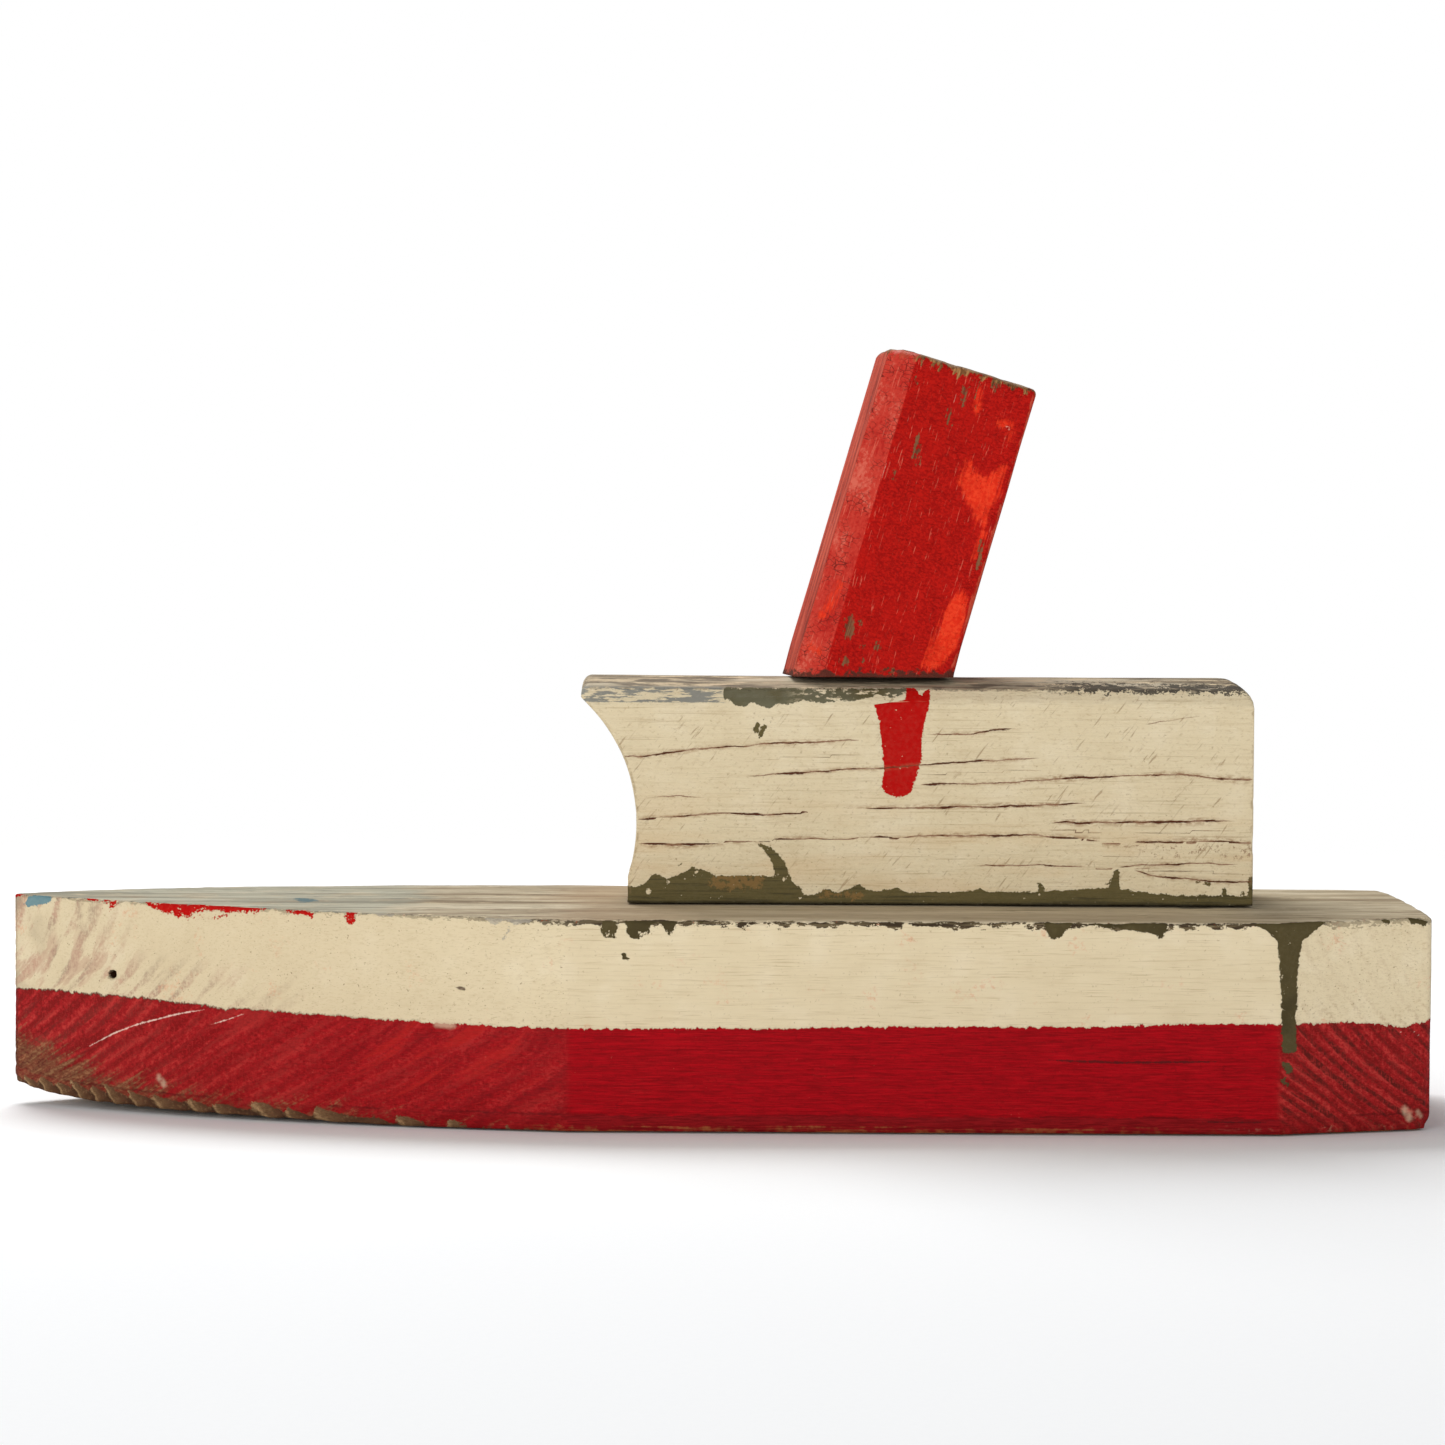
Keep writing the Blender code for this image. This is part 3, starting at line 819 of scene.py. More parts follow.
def make_funnel(material):
    """The funnel block, raked and turned a little, with the fields that its paint needs."""
    us = stations(-FUNNEL_HALF, FUNNEL_HALF, 0.62, [
        (-FUNNEL_HALF, 5.6, 0.4), (FUNNEL_HALF, 2, 0.3),
    ])
    vs = stations(-FUNNEL_HALF, FUNNEL_HALF, 0.62, [
        (-FUNNEL_HALF, 5.6, 0.4), (FUNNEL_HALF, 5.6, 0.4),
    ])
    ws = stations(0, 1, 0.0095, [(1, 0.03, 0.004), (0, 0.01, 0.005)])
    grid, quads = block(us, vs, ws)
    u, v, w = grid.T
    bow_gap, stern_gap, side_gap = u + FUNNEL_HALF, FUNNEL_HALF - u, FUNNEL_HALF - np.abs(v)
    in_chamfer = (bow_gap + side_gap) < FUNNEL_CHAMFER
    on_skin = (bow_gap <= 0) | (stern_gap <= 0) | (side_gap <= 0)
    cut = np.maximum(FUNNEL_CHAMFER - bow_gap - side_gap, 0) / 2
    bow_gap, side_gap = bow_gap + cut, side_gap + cut
    round_side, stern_gap = rounded([side_gap, stern_gap], [np.full(len(u), FUNNEL_EDGE)] * 2)
    v = np.sign(v) * (FUNNEL_HALF - np.where(u < 0, side_gap, round_side))
    u = np.where(u < 0, bow_gap - FUNNEL_HALF, FUNNEL_HALF - stern_gap)
    start = u * math.tan(FUNNEL_RAKE)
    up = start + w * (FUNNEL_LENGTH - start)
    into_top = np.maximum(FUNNEL_TOP_EDGE - (FUNNEL_LENGTH - up), 0)
    inset = FUNNEL_TOP_EDGE - np.sqrt(FUNNEL_TOP_EDGE**2 - into_top**2)
    shrink = 1 - inset / FUNNEL_HALF
    u, v = u * shrink, v * shrink
    local = np.stack([u, v, up], axis=1)
    local = relaxed(local, quads, 1)
    face = outward(local, quads)
    u, v, up = local.T
    corner_near = np.maximum(np.abs(u), np.abs(v))
    top_wear = smooth(FUNNEL_LENGTH - up, 3.5, 0.0) * smooth(corner_near, 12.6, 14.4)
    lumps = 0.12 * fractal(local, (10, 10, 26), 3, 71)
    chips = 0.35 * smooth(noise(local, (2.6, 2.6, 3.2), 72), 0.1, 0.7) * top_wear
    shift = lumps - chips - 0.03 * fractal(local, (1.4, 1.4, 18), 2, 73) - 0.12
    local = local + face * shift[:, None] * smooth(up - u * math.tan(FUNNEL_RAKE), 0, 1.0)[:, None]
    u, v, up = local.T
    sine, cosine = math.sin(FUNNEL_RAKE), math.cos(FUNNEL_RAKE)
    x, y, z = u * cosine + up * sine, v, up * cosine - u * sine
    turn_cos, turn_sin = math.cos(FUNNEL_TURN), math.sin(FUNNEL_TURN)
    world_x = FUNNEL_X + x * turn_cos - y * turn_sin
    world_y = x * turn_sin + y * turn_cos
    world_z = FUNNEL_FOOT_Z + np.maximum(z, 0) - FUNNEL_SINK * smooth(-z, -6, 0)
    world = np.stack([world_x, world_y, world_z], axis=1)
    foot_gap = up - u * math.tan(FUNNEL_RAKE)
    # The far side carries the near side's marks upside down.
    near = v < 0
    side_u, side_up = np.where(near, u, 3.0 - u), np.where(near, up, FUNNEL_LENGTH - up)
    orange = strokes(side_u, side_up, [
        [(9.8, 55.7, 0.3), (12, 56, 0.6)], [(12.4, 54.6, 0.5), (12.7, 53, 0.2)],
        [(6.4, 46.4, 0.5), (7.2, 42.5, 1.5), (9, 40.4, 1.7), (11, 37.8, 1.3), (12, 35.4, 0.6)],
        [(12.9, 47.2, 0.5), (12.4, 44.5, 1), (12, 41.5, 1.4), (11.4, 38.5, 1.3)],
        [(8.6, 43.2, 1.2), (10.2, 42.8, 1.5), (10.6, 39.8, 1.9)],
        [(12.8, 33.2, 0.5), (12.9, 28.6, 0.5)],
        [(12.4, 19.4, 1.2), (12.3, 15, 2.1), (12.2, 11, 2.2), (10.8, 6.8, 1.5), (9.6, 5.2, 0.6)],
        [(-11.8, 15.5, 0.1), (-12.4, 10, 0.3)], [(-13.2, 8.6, 0.3)],
        [(-13.6, 1.8, 0.4), (-12, 1.4, 0.3)], [(3.8, 60.6, 0.3), (4.4, 57, 0.4)],
    ])
    olive = strokes(side_u, side_up, [
        [(-8, 9.8, 0.7), (-7.5, 6.6, 1)], [(-5.6, 9.3, 0.4)], [(-1.3, 6.2, 0.4), (-1.1, 5.4, 0.5)],
        [(-3.6, 4.8, 0.5)], [(-3.4, 2.4, 0.6)], [(1.8, 2.3, 0.6), (3, 1.8, 0.4)],
        [(-6.4, 1.2, 0.7)], [(-8.9, 59.4, 0.35), (-8.5, 57.9, 0.3)],
        [(1, 60.2, 0.45), (1.6, 56.9, 0.4)], [(2.9, 62.6, 0.3), (3.9, 57.4, 0.3)],
        [(-0.6, 55.4, 0.35), (-0.3, 52.6, 0.45)], [(-5.1, 48.2, 0.45), (-4.9, 46.4, 0.4)],
        [(-4.7, 45.6, 0.6), (-4.5, 44.2, 0.5)], [(-3.8, 43, 0.25)],
        [(-7.7, 40, 0.25), (-7.5, 38.8, 0.3)], [(6.8, 63.3, 0.5), (7, 61.6, 0.35)],
        [(13, 32, 0.4), (13.8, 27, 0.4)],
    ])
    scratch = strokes(side_u, side_up, [
        [(-0.5, 59.7, 0.06), (-0.1, 55.6, 0.08)], [(-8.6, 53.1, 0.06), (-7.7, 48.1, 0.07)],
        [(7, 54.1, 0.07), (7.8, 49.6, 0.09)],
        [(4.1, 39, 0.05), (2, 40.4, 0.07), (-0.2, 39.3, 0.05)],
        [(-3.6, 53, 0.07), (-3.3, 49.4, 0.06)],
        [(-9.6, 44, 0.06), (-9.9, 40, 0.12), (-9.7, 34, 0.05)],
        [(11.2, 55.3, 0.3), (12, 55.1, 0.35)], [(3.6, 41, 0.18)],
    ])
    fields = {
        "local": np.stack([u, v, up], axis=1),
        "top_gap": FUNNEL_LENGTH - up,
        "foot_gap": foot_gap,
        "corner_gap": np.maximum(FUNNEL_HALF - u, FUNNEL_HALF - np.abs(v)),
        "chamfer": (in_chamfer & on_skin).astype(float),
        "bow_face": smooth(-face[:, 0], 0.85, 0.97),
        "orange": orange,
        "olive": olive,
        "scratch": scratch,
        "is_top": smooth(face[:, 2], 0.6, 0.9),
    }
    return make_piece(
        "funnel_wood", world, quads, fields, material, "funnel", ["funnel"],
    )


# ---------------------------------------------------------------- shader graphs


def rgb(red, green, blue):
    """A linear colour from screen values of 0 to 255."""
    channels = []
    for value in (red, green, blue):
        share = value / 255
        channels.append(share / 12.92 if share <= 0.04045 else ((share + 0.055) / 1.055) ** 2.4)
    return (*channels, 1.0)


class Signal:
    """A node's output. Adding, subtracting and multiplying signals and numbers makes math nodes."""

    def __init__(self, graph, socket):
        self.graph, self.socket = graph, socket

    def __add__(self, other):
        return self.graph.math("ADD", self, other)

    def __sub__(self, other):
        return self.graph.math("SUBTRACT", self, other)

    def __rsub__(self, other):
        return self.graph.math("SUBTRACT", other, self)

    def __mul__(self, other):
        return self.graph.math("MULTIPLY", self, other)

    def __abs__(self):
        return self.graph.math("ABSOLUTE", self)

    __radd__, __rmul__ = __add__, __mul__


class Graph:
    """Builds one material's nodes. here is the surface point, which all noise starts from."""

    def __init__(self, name, place_field=None):
        self.material = bpy.data.materials.new(name)
        self.material.use_nodes = True
        self.tree = self.material.node_tree
        self.shader = self.tree.nodes["Principled BSDF"]
        self.here = self.place(place_field)

    def put(self, socket, value):
        if isinstance(value, Signal):
            self.tree.links.new(value.socket, socket)
        else:
            socket.default_value = value

    def wrap(self, kind, output, inputs=(), **settings):
        """A new node's output, with its inputs given by name or number."""
        made = self.tree.nodes.new(kind)
        for setting, value in settings.items():
            setattr(made, setting, value)
        for name, value in dict(inputs).items():
            self.put(made.inputs[name], value)
        return Signal(self, made.outputs[output])

    def math(self, operation, *values):
        return self.wrap("ShaderNodeMath", 0, enumerate(values), operation=operation)

    def step(self, value, low, high):
        """0 below low and 1 above high, smooth between. It falls instead if low is above high."""
        ends = {"From Min": min(low, high), "From Max": max(low, high)}
        ends |= {"To Min": float(low > high), "To Max": float(low <= high)}
        settings = {"interpolation_type": "SMOOTHSTEP"}
        return self.wrap("ShaderNodeMapRange", "Result", {"Value": value, **ends}, **settings)

    def field(self, name, output="Fac"):
        return self.wrap("ShaderNodeAttribute", output, attribute_name=name)

    def place(self, field=None):
        """The surface point in millimetres: the object's own, or a vector field's."""
        if field:
            return self.field(field, "Vector")
        point = self.wrap("ShaderNodeTexCoord", "Object")
        inputs = {0: point, "Scale": 1 / MM}
        return self.wrap("ShaderNodeVectorMath", "Vector", inputs, operation="SCALE")

    def stations(self):
        """The surface point's own X, Y and Z."""
        split = self.tree.nodes.new("ShaderNodeSeparateXYZ")
        self.put(split.inputs[0], self.here)
        return [Signal(self, output) for output in split.outputs]

    def scaled(self, place, size, shift=0.0):
        """The place divided by size, which is one number or one for each axis, and shifted."""
        scale = [1 / s for s in np.broadcast_to(size, 3)]
        inputs = {"Vector": place, "Scale": scale, "Location": (shift, shift * 0.7, shift * 1.3)}
        return self.wrap("ShaderNodeMapping", "Vector", inputs)

    def noise(self, size, detail=3.0, rough=0.55, warp=0.0, shift=0.0, lean=0.0, place=None):
        """Noise from 0 to 1. size is its features' size, and lean turns it about Y, in degrees."""
        place = place or self.here
        if lean:
            turn = {"Vector": place, "Angle": math.radians(lean)}
            place = self.wrap("ShaderNodeVectorRotate", 0, turn, rotation_type="Y_AXIS")
        inputs = {"Vector": self.scaled(place, size, shift), "Scale": 1.0}
        inputs |= {"Detail": detail, "Roughness": rough, "Distortion": warp}
        return self.wrap("ShaderNodeTexNoise", "Fac", inputs)

    def spots(self, low, high, size, *settings, **options):
        """1 where such a noise is past high and 0 below low, as step gives them."""
        return self.step(self.noise(size, *settings, **options), low, high)

    def cells(self, size):
        """How far the point lies from the edges of cracked cells, for crazed paint."""
        inputs = {"Vector": self.scaled(self.here, size), "Scale": 1.0}
        return self.wrap("ShaderNodeTexVoronoi", "Distance", inputs, feature="DISTANCE_TO_EDGE")

    def blend(self, share, low, high):
        """Mixes two colours."""
        inputs = {"Factor": share, 6: low, 7: high}
        return self.wrap("ShaderNodeMix", 2, inputs, data_type="RGBA")

    def layers(self, colour, paints):
        """The colour under several paints, each given as (cover, paint)."""
        for cover, paint in paints:
            colour = self.blend(cover, colour, paint)
        return colour

    def ramp(self, value, *stops):
        """A colour that runs through (place, colour) stops."""
        colour = stops[0][1]
        for (low, _), (high, after) in zip(stops, stops[1:]):
            colour = self.blend(self.step(value, low, high), colour, after)
        return colour

    def wobbles(self, size):
        """Sets the coarse and fine unevenness that every paint's edge shares."""
        self.coarse = self.noise(size, 3.0, 0.6, shift=1.0) - 0.5
        self.fine = self.noise(size * 0.25, 3.0, 0.65, shift=2.0) - 0.5

    def ragged(self, distance, amount, soft=0.08):
        """A paint's cover, 0 to 1, from its distance field with an uneven edge."""
        edge = distance + self.coarse * (5.0 * amount) + self.fine * (4.0 * amount)
        return self.step(edge, -soft, soft)

    def finish(self, colour, roughness, height, specular=0.4, bump=1.0):
        """Joins the colour, the roughness and a height in millimetres to the shader."""
        inputs = {"Strength": bump, "Distance": MM, "Height": height}
        self.put(self.shader.inputs["Base Color"], colour)
        self.put(self.shader.inputs["Roughness"], roughness)
        self.put(self.shader.inputs["Specular IOR Level"], specular)
        self.put(self.shader.inputs["Normal"], self.wrap("ShaderNodeBump", "Normal", inputs))
        return self.material


CREAM = rgb(218, 202, 168)
CREAM_LIGHT = rgb(222, 207, 175)
CREAM_DARK = rgb(194, 174, 138)
PINK_BROWN = rgb(186, 150, 126)
RED = rgb(170, 6, 20)
RED_DARK = rgb(128, 4, 12)
RED_LIGHT = rgb(188, 30, 32)
SPLASH_RED = rgb(178, 8, 4)
OLIVE = rgb(80, 70, 43)
OLIVE_DARK = rgb(62, 56, 38)
TEAL = rgb(88, 130, 140)
BLUE_GREY = rgb(138, 136, 126)
DIRT = rgb(64, 52, 38)


def weathered_wood(g, grain):
    """Bare softwood gone grey: (colour, height). grain is its streaks' size along each axis."""
    fine = tuple(size * 0.35 for size in grain)
    wide = tuple(size * 3.2 for size in grain)
    streak = g.noise(grain, 5, 0.68, 0.3)
    thin = g.noise(fine, 4, 0.65, 0.2, shift=7)
    broad = g.noise(wide, 5, 0.62, 0.4, shift=3)
    colour = g.ramp(
        broad, (0.36, rgb(140, 124, 101)), (0.48, rgb(173, 159, 134)), (0.62, rgb(200, 188, 163)),
    )
    colour = g.layers(colour, [
        (g.step(streak, 0.46, 0.34) * 0.65, rgb(110, 94, 74)),
        (g.step(thin, 0.44, 0.34) * 0.75, rgb(82, 66, 52)),
    ])
    crack = g.noise((wide[0] * 0.4, wide[1] * 0.5, wide[2] * 0.5), 5, 0.7, 0.3, shift=13)
    colour = g.blend(g.step(crack, 0.39, 0.33) * 0.8, colour, rgb(78, 64, 52))
    height = streak * 0.18 + thin * 0.16
    return colour, height


def cream_paint(g, patchy, brush, speckle, hair):
    """Old cream oil paint over a grainy board."""
    cream = g.ramp(
        patchy, (0.3, CREAM_LIGHT), (0.5, CREAM), (0.78, g.blend(0.25, CREAM, CREAM_DARK)),
    )
    cream = g.layers(cream, [
        (g.step(brush, 0.5, 0.68) * 0.3, CREAM_DARK),
        (g.step(hair, 0.42, 0.32) * 0.45, rgb(168, 146, 112)),
    ])
    return g.blend(g.step(speckle, 0.64, 0.76) * 0.5, cream, rgb(150, 126, 94))


def hull_material():
    """Cream over red, ring-marked facets, deck, spilt paint, wear, and some painted light and
    shade.
    """
    g = Graph("hull_paint")
    run, _, _ = g.stations()
    g.wobbles(1.6)
    wood, wood_height = weathered_wood(g, (22, 2, 1.6))
    facet = g.field("facet")
    speckle = g.noise(0.8, 3, 0.65)
    patchy = g.noise(9, 3, 0.55)
    brush = g.noise((16, 0.5, 0.5), 4, 0.6)
    hair = g.noise((9, 0.22, 0.22), 3, 0.6, shift=4)
    weave = g.noise((0.26, 0.26, 1.8), 2, 0.6, shift=6)
    grain = g.noise((4.5, 0.36, 0.36), 4, 0.75, shift=64)
    teeth = g.noise((1.1, 1.1, 2), 3, 0.7, shift=44) - 0.5
    broad = g.noise(15, 2, 0.5, shift=12)
    water = g.field("water")
    over_deck = g.field("over_deck")
    over_keel = g.field("over_keel")
    bow = g.step(run, -40, -112)

    # The growth rings show through the paint on the sawn facets.
    ring_place = g.place("ring_place")
    streaks = g.noise((1.5, 22, 22), 4, 0.6, shift=3, place=ring_place)
    blots = g.noise((3, 9, 9), 3, 0.6, shift=33, place=ring_place)
    wave = g.math("SINE", (g.field("rings") + (patchy - 0.5) * 0.3) * (2 * math.pi))
    stripe = wave * 0.6 + (streaks - 0.5) * 1.6 + (blots - 0.5) * 5
    stripe = g.step(stripe, -0.15, 0.75) * facet
    cloth = brush * 0.5 + weave * 0.5 + (speckle - 0.5) * 0.5
    cloth = g.step(cloth, 0.42, 0.56)

    # Deck: grey wood, washed blue-green forward, stained brown by the cabin and painted lighter
    # beside it as painted light.
    here = run + (broad - 0.5) * 22 + g.coarse * 10
    wash = g.step(here, -55, -66) * g.step(patchy, 0.2, 0.55) * 0.34
    deck = g.blend(wash, wood, rgb(136, 152, 144))
    stain = g.step(here, -38, -24) * g.step(here, 10, -10) * 0.55
    deck = g.blend(stain, deck, rgb(158, 132, 104))
    # Painted light: the deck beside the cabin is painted lighter, less so near the transom.
    painted_light_beside_cabin = g.step(here, -30, 0) * (0.18 + g.step(run, 112, 100) * 0.22)
    deck = g.layers(deck, [
        (painted_light_beside_cabin, rgb(216, 198, 164)),
        (g.spots(0.6, 0.68, (7, 5, 5), 5, 0.7, shift=62) * 0.5, rgb(206, 188, 156)),
        (g.ragged(g.field("smear"), 1.1, 0.25) * 0.85, rgb(80, 108, 114)),
    ])

    cream = cream_paint(g, patchy, brush, speckle, hair)
    cream = g.blend(g.step(run, -20, -90) * 0.28, cream, CREAM_DARK)
    low = g.step(water, -11, -3) * g.step(run, -70, -112)
    tip = g.step(run, -112, -130)
    rubbed_tip = g.step(run, -132, -143) * g.step(patchy, 0.4, 0.6) * 0.6
    cream = g.blend(rubbed_tip, cream, rgb(148, 130, 110))
    show = g.math("MAXIMUM", low, tip) * (0.35 + cloth * 0.65)
    through = g.blend(g.step(patchy, 0.4, 0.62), PINK_BROWN, rgb(162, 138, 116))
    cream = g.blend(stripe * show * 0.9, cream, through)
    blotch = g.step(blots, 0.5, 0.57) * g.step(run, -110, -124) * g.step(water, -15, -8) * 0.5
    cream = g.blend(blotch, cream, PINK_BROWN)
    aft_facet = g.step(run, 100, 112)
    cream = g.blend(
        stripe * aft_facet * cloth * (0.15 + g.step(water, -6, -1) * 0.2), cream,
        rgb(168, 140, 112),
    )
    pepper = g.spots(0.66, 0.76, 0.55, 2, shift=17) * (0.25 + facet * 0.5)
    cream = g.blend(pepper, cream, rgb(128, 102, 76))
    blush = g.spots(0.58, 0.7, 7, 3, 0.6, shift=24) * g.step(speckle, 0.48, 0.62) * 0.4
    cream = g.blend(blush, cream, rgb(214, 150, 118))

    red = g.blend(
        g.step(brush, 0.36, 0.64) * 0.35 + g.step(grain, 0.38, 0.62) * 0.65, RED_DARK, RED,
    )
    red = g.layers(red, [
        (g.step(hair, 0.54, 0.7) * 0.35, RED_LIGHT),
        (g.step(speckle, 0.42, 0.3) * 0.4, rgb(112, 4, 12)),
    ])
    dull = g.ramp(
        blots * 0.6 + speckle * 0.4, (0.42, rgb(122, 18, 18)), (0.5, rgb(152, 26, 28)),
        (0.58, rgb(178, 50, 46)),
    )
    dull = g.layers(dull, [
        (g.step(grain, 0.48, 0.36) * 0.5, rgb(108, 16, 16)),
        (g.step(weave, 0.56, 0.66) * 0.2, rgb(184, 66, 56)),
        (g.step(hair, 0.54, 0.7) * 0.4, rgb(186, 62, 54)),
    ])
    dark = stripe * (0.34 + cloth * 0.4) * (0.65 + aft_facet * 0.7 + g.step(run, -90, -125) * 0.35)
    dull = g.blend(dark, dull, rgb(92, 24, 20))
    bands = g.noise((2.6, 16, 16), 3, 0.55, shift=71, place=ring_place)
    middle = g.step(run, -92, -60) * g.step(run, 100, 60)
    dull = g.layers(dull, [
        (g.step(bands, 0.54, 0.66) * middle * 0.6, rgb(192, 44, 34)),
        (g.step(bands, 0.47, 0.36) * middle * 0.6, rgb(96, 14, 16)),
    ])
    fore_share = 0.5 + g.step(run, -60, -135) * 0.5 + aft_facet * 0.5
    red = g.blend(facet * g.math("MINIMUM", fore_share, 1), red, dull)
    ridge = (streaks - 0.5) * 16 + (speckle - 0.5) * 9 + g.coarse * 6 + g.field("streaked")
    ridge_wood = g.ramp(
        streaks * 0.5 + brush * 0.5, (0.42, rgb(74, 46, 30)), (0.5, rgb(104, 70, 46)),
        (0.6, rgb(140, 104, 70)),
    )
    red = g.layers(red, [
        (g.step(ridge, -2.5, 3) * facet * 0.8, ridge_wood),
        (g.step(speckle, 0.7, 0.8) * 0.5, rgb(196, 92, 76)),
    ])
    # Painted shade: the bottom chamfer, which faces down, is painted a darker red.
    bilge_shade = g.step(3.3 - g.field("above_keel") + g.coarse * 1.2, -0.15, 0.15)
    bilge_shade_red = g.blend(g.step(grain, 0.36, 0.64), rgb(106, 12, 16), rgb(136, 22, 26))
    red = g.blend(bilge_shade * (1 - facet * 0.6) * 0.85, red, bilge_shade_red)
    arris = g.step(abs(3.5 - g.field("above_keel") + g.coarse * 1), 0.35, 0.05)
    red = g.blend(arris * g.step(patchy, 0.4, 0.55) * 0.5, red, rgb(70, 10, 12))
    worn_foot = 1.05 - g.field("above_keel") + (brush - 0.5) * 2.6 + g.coarse * 2
    worn_foot = g.step(worn_foot, -0.2, 0.6) * g.step(run, -40, -25) * g.step(run, 108, 70)
    red = g.blend(worn_foot * 0.85, red, rgb(152, 90, 50))
    pale_foot = (
        g.step(1.4 - g.field("above_keel") + (speckle - 0.5) * 4, 0, 0.5) * g.step(run, 92, 112)
    )
    red = g.blend(
        pale_foot * g.spots(0.52, 0.66, (9, 3, 3), 4, 0.65, shift=66) * 0.5, red,
        rgb(182, 124, 100),
    )

    shore = water + teeth * 1.7 + g.coarse * 0.9
    below = g.step(shore, -0.05, 0.05)
    side = g.blend(below, cream, red)
    rim = g.step(abs(shore + 0.05), 0.28, 0.05)
    side = g.blend(rim * (0.15 + bow * 0.65), side, rgb(84, 34, 30))
    edge = g.ragged(over_deck + 0.05, 0.25, 0.12)
    colour = g.blend(edge, side, deck)
    aft = g.step(run, -60, -18)
    torn = g.noise((2.6, 1.3, 1.3), 5, 0.7, shift=8) - 0.5
    band = 0.2 + torn * 5.5 + aft * 0.4
    chip_line = g.step(band - abs(over_deck + 0.35), -0.08, 0.12)
    at_stern = g.step(run, 116, 124)
    colour = g.blend(
        chip_line * (0.4 + aft * 0.6) * (1 - at_stern * 0.5), colour,
        g.blend(g.step(brush, 0.42, 0.58), DIRT, rgb(104, 90, 66)),
    )
    chips = g.spots(0.58, 0.63, (2, 0.8, 0.8), 4, 0.7, shift=48)
    colour = g.blend(chips * g.step(abs(over_deck - 0.3), 1.1, 0.5) * 0.85, colour, CREAM)
    specks = g.spots(0.67, 0.72, (1.4, 0.8, 0.8), 3, 0.6, shift=58)
    colour = g.blend(specks * g.step(abs(over_deck), 0.9, 0.4) * 0.7, colour, rgb(178, 74, 44))

    # The underside's paint is rubbed away to bare wood.
    rubbed = g.step(over_keel, 0.6, 3) * g.spots(0.34, 0.46, (30, 8, 8), 5, 0.65, shift=14)
    colour = g.blend(rubbed, colour, g.blend(0.5, wood, rgb(140, 104, 70)))

    marks = (
        ("grey", rgb(164, 156, 142), 0.3, 0.7, None), ("teal", TEAL, 0.34, 0.9, None),
        ("splash", SPLASH_RED, 0.5, 1, (0.64, 0.6)), ("olive", OLIVE, 0.26, 1, (0.7, 0.66)),
    )
    paint_height = (1 - edge) * 0.1
    for field, paint, amount, strength, missing in marks:
        cover = g.ragged(g.field(field), amount, 0.07) * strength
        if missing:
            cover = cover * g.spots(*missing, (1.3, 1.3, 0.8), 4, 0.7, shift=28)
        shade = g.blend(g.step(speckle, 0.4, 0.65) * 0.5, paint, g.blend(0.03, paint, CREAM))
        if field == "olive":
            shade = g.blend(
                g.step(patchy, 0.54, 0.36) * 0.7, shade, g.blend(0.35, paint, rgb(20, 16, 12)),
            )
        colour = g.blend(cover, colour, shade)
        paint_height = paint_height + cover * 0.06

    for field, paint, strength, broken, soft in (
        ("scratch", rgb(222, 190, 172), 0.85, 0.18, 0.12),
        ("scuff", rgb(206, 180, 150), 0.6, 0.5, 0.5), ("crease", rgb(66, 40, 30), 0.85, 0.18, 0.12),
    ):
        line = g.field(field) + (speckle - 0.46) * broken
        colour = g.blend(g.step(line, -soft, soft) * strength, colour, paint)
    for name, paint in (("scratch", rgb(226, 196, 180)), ("crease", rgb(78, 22, 22))):
        gap = abs(g.field(name + "_gap") + g.fine * 0.15)
        line = g.field(name + "_width") + (speckle - 0.5) * 0.8 - gap
        line = g.step(line, -0.1, 0.12) * g.step(g.field(name + "_width"), -0.1, 0.05)
        colour = g.blend(line * 0.85, colour, paint)

    bare = (
        g.ragged(g.field("worn"), 0.26, 0.12) * g.step(over_deck, 0, -6)
        * g.ragged(5 - over_keel, 0.9, 1.6)
    )
    # The scallops' bare wood is painted with a highlight along each crest and painted shade in the
    # gap behind it.
    fin = g.math("FRACT", g.field("scallop") + g.coarse * 0.3)
    bare_wood = g.ramp(
        fin, (0, rgb(72, 50, 34)), (0.12, rgb(166, 132, 94)), (0.27, rgb(114, 84, 58)),
        (0.66, rgb(92, 60, 42)), (1, rgb(70, 44, 32)),
    )
    bare_wood = g.layers(bare_wood, [
        (g.step(hair, 0.58, 0.42) * 0.5, rgb(84, 60, 40)),
        (g.step(speckle, 0.52, 0.66) * 0.25, rgb(160, 126, 88)),
    ])
    plain = g.step(run, -40, -20)
    bare_wood = g.blend(
        plain, bare_wood, g.blend(g.step(brush, 0.42, 0.58), rgb(138, 92, 54), rgb(160, 112, 68)),
    )
    colour = g.blend(bare, colour, bare_wood)

    # The tack hole is painted dark: rust stain, and painted shade inside the hole.
    tack_hole_rust_and_shade = g.step(g.field("tack") + (speckle - 0.5) * 0.8, -0.05, 0.15)
    colour = g.layers(colour, [
        (tack_hole_rust_and_shade, rgb(46, 26, 14)),
        (g.field("pit") * 0.5, rgb(80, 54, 36)),
    ])

    on_side = g.step(over_deck, 0.3, -0.3)
    height = (
        wood_height * (1 - on_side * 0.8) + brush * 0.09 + hair * 0.05 + speckle * 0.04
        + wave * facet * 0.03 + paint_height + tack_hole_rust_and_shade * -0.4
    )
    gloss = 0.56 + (brush - 0.5) * 0.3 + below * on_side * -0.06 + edge * 0.24 + bare * 0.24
    return g.finish(colour, gloss, height, 0.05, 0.9)


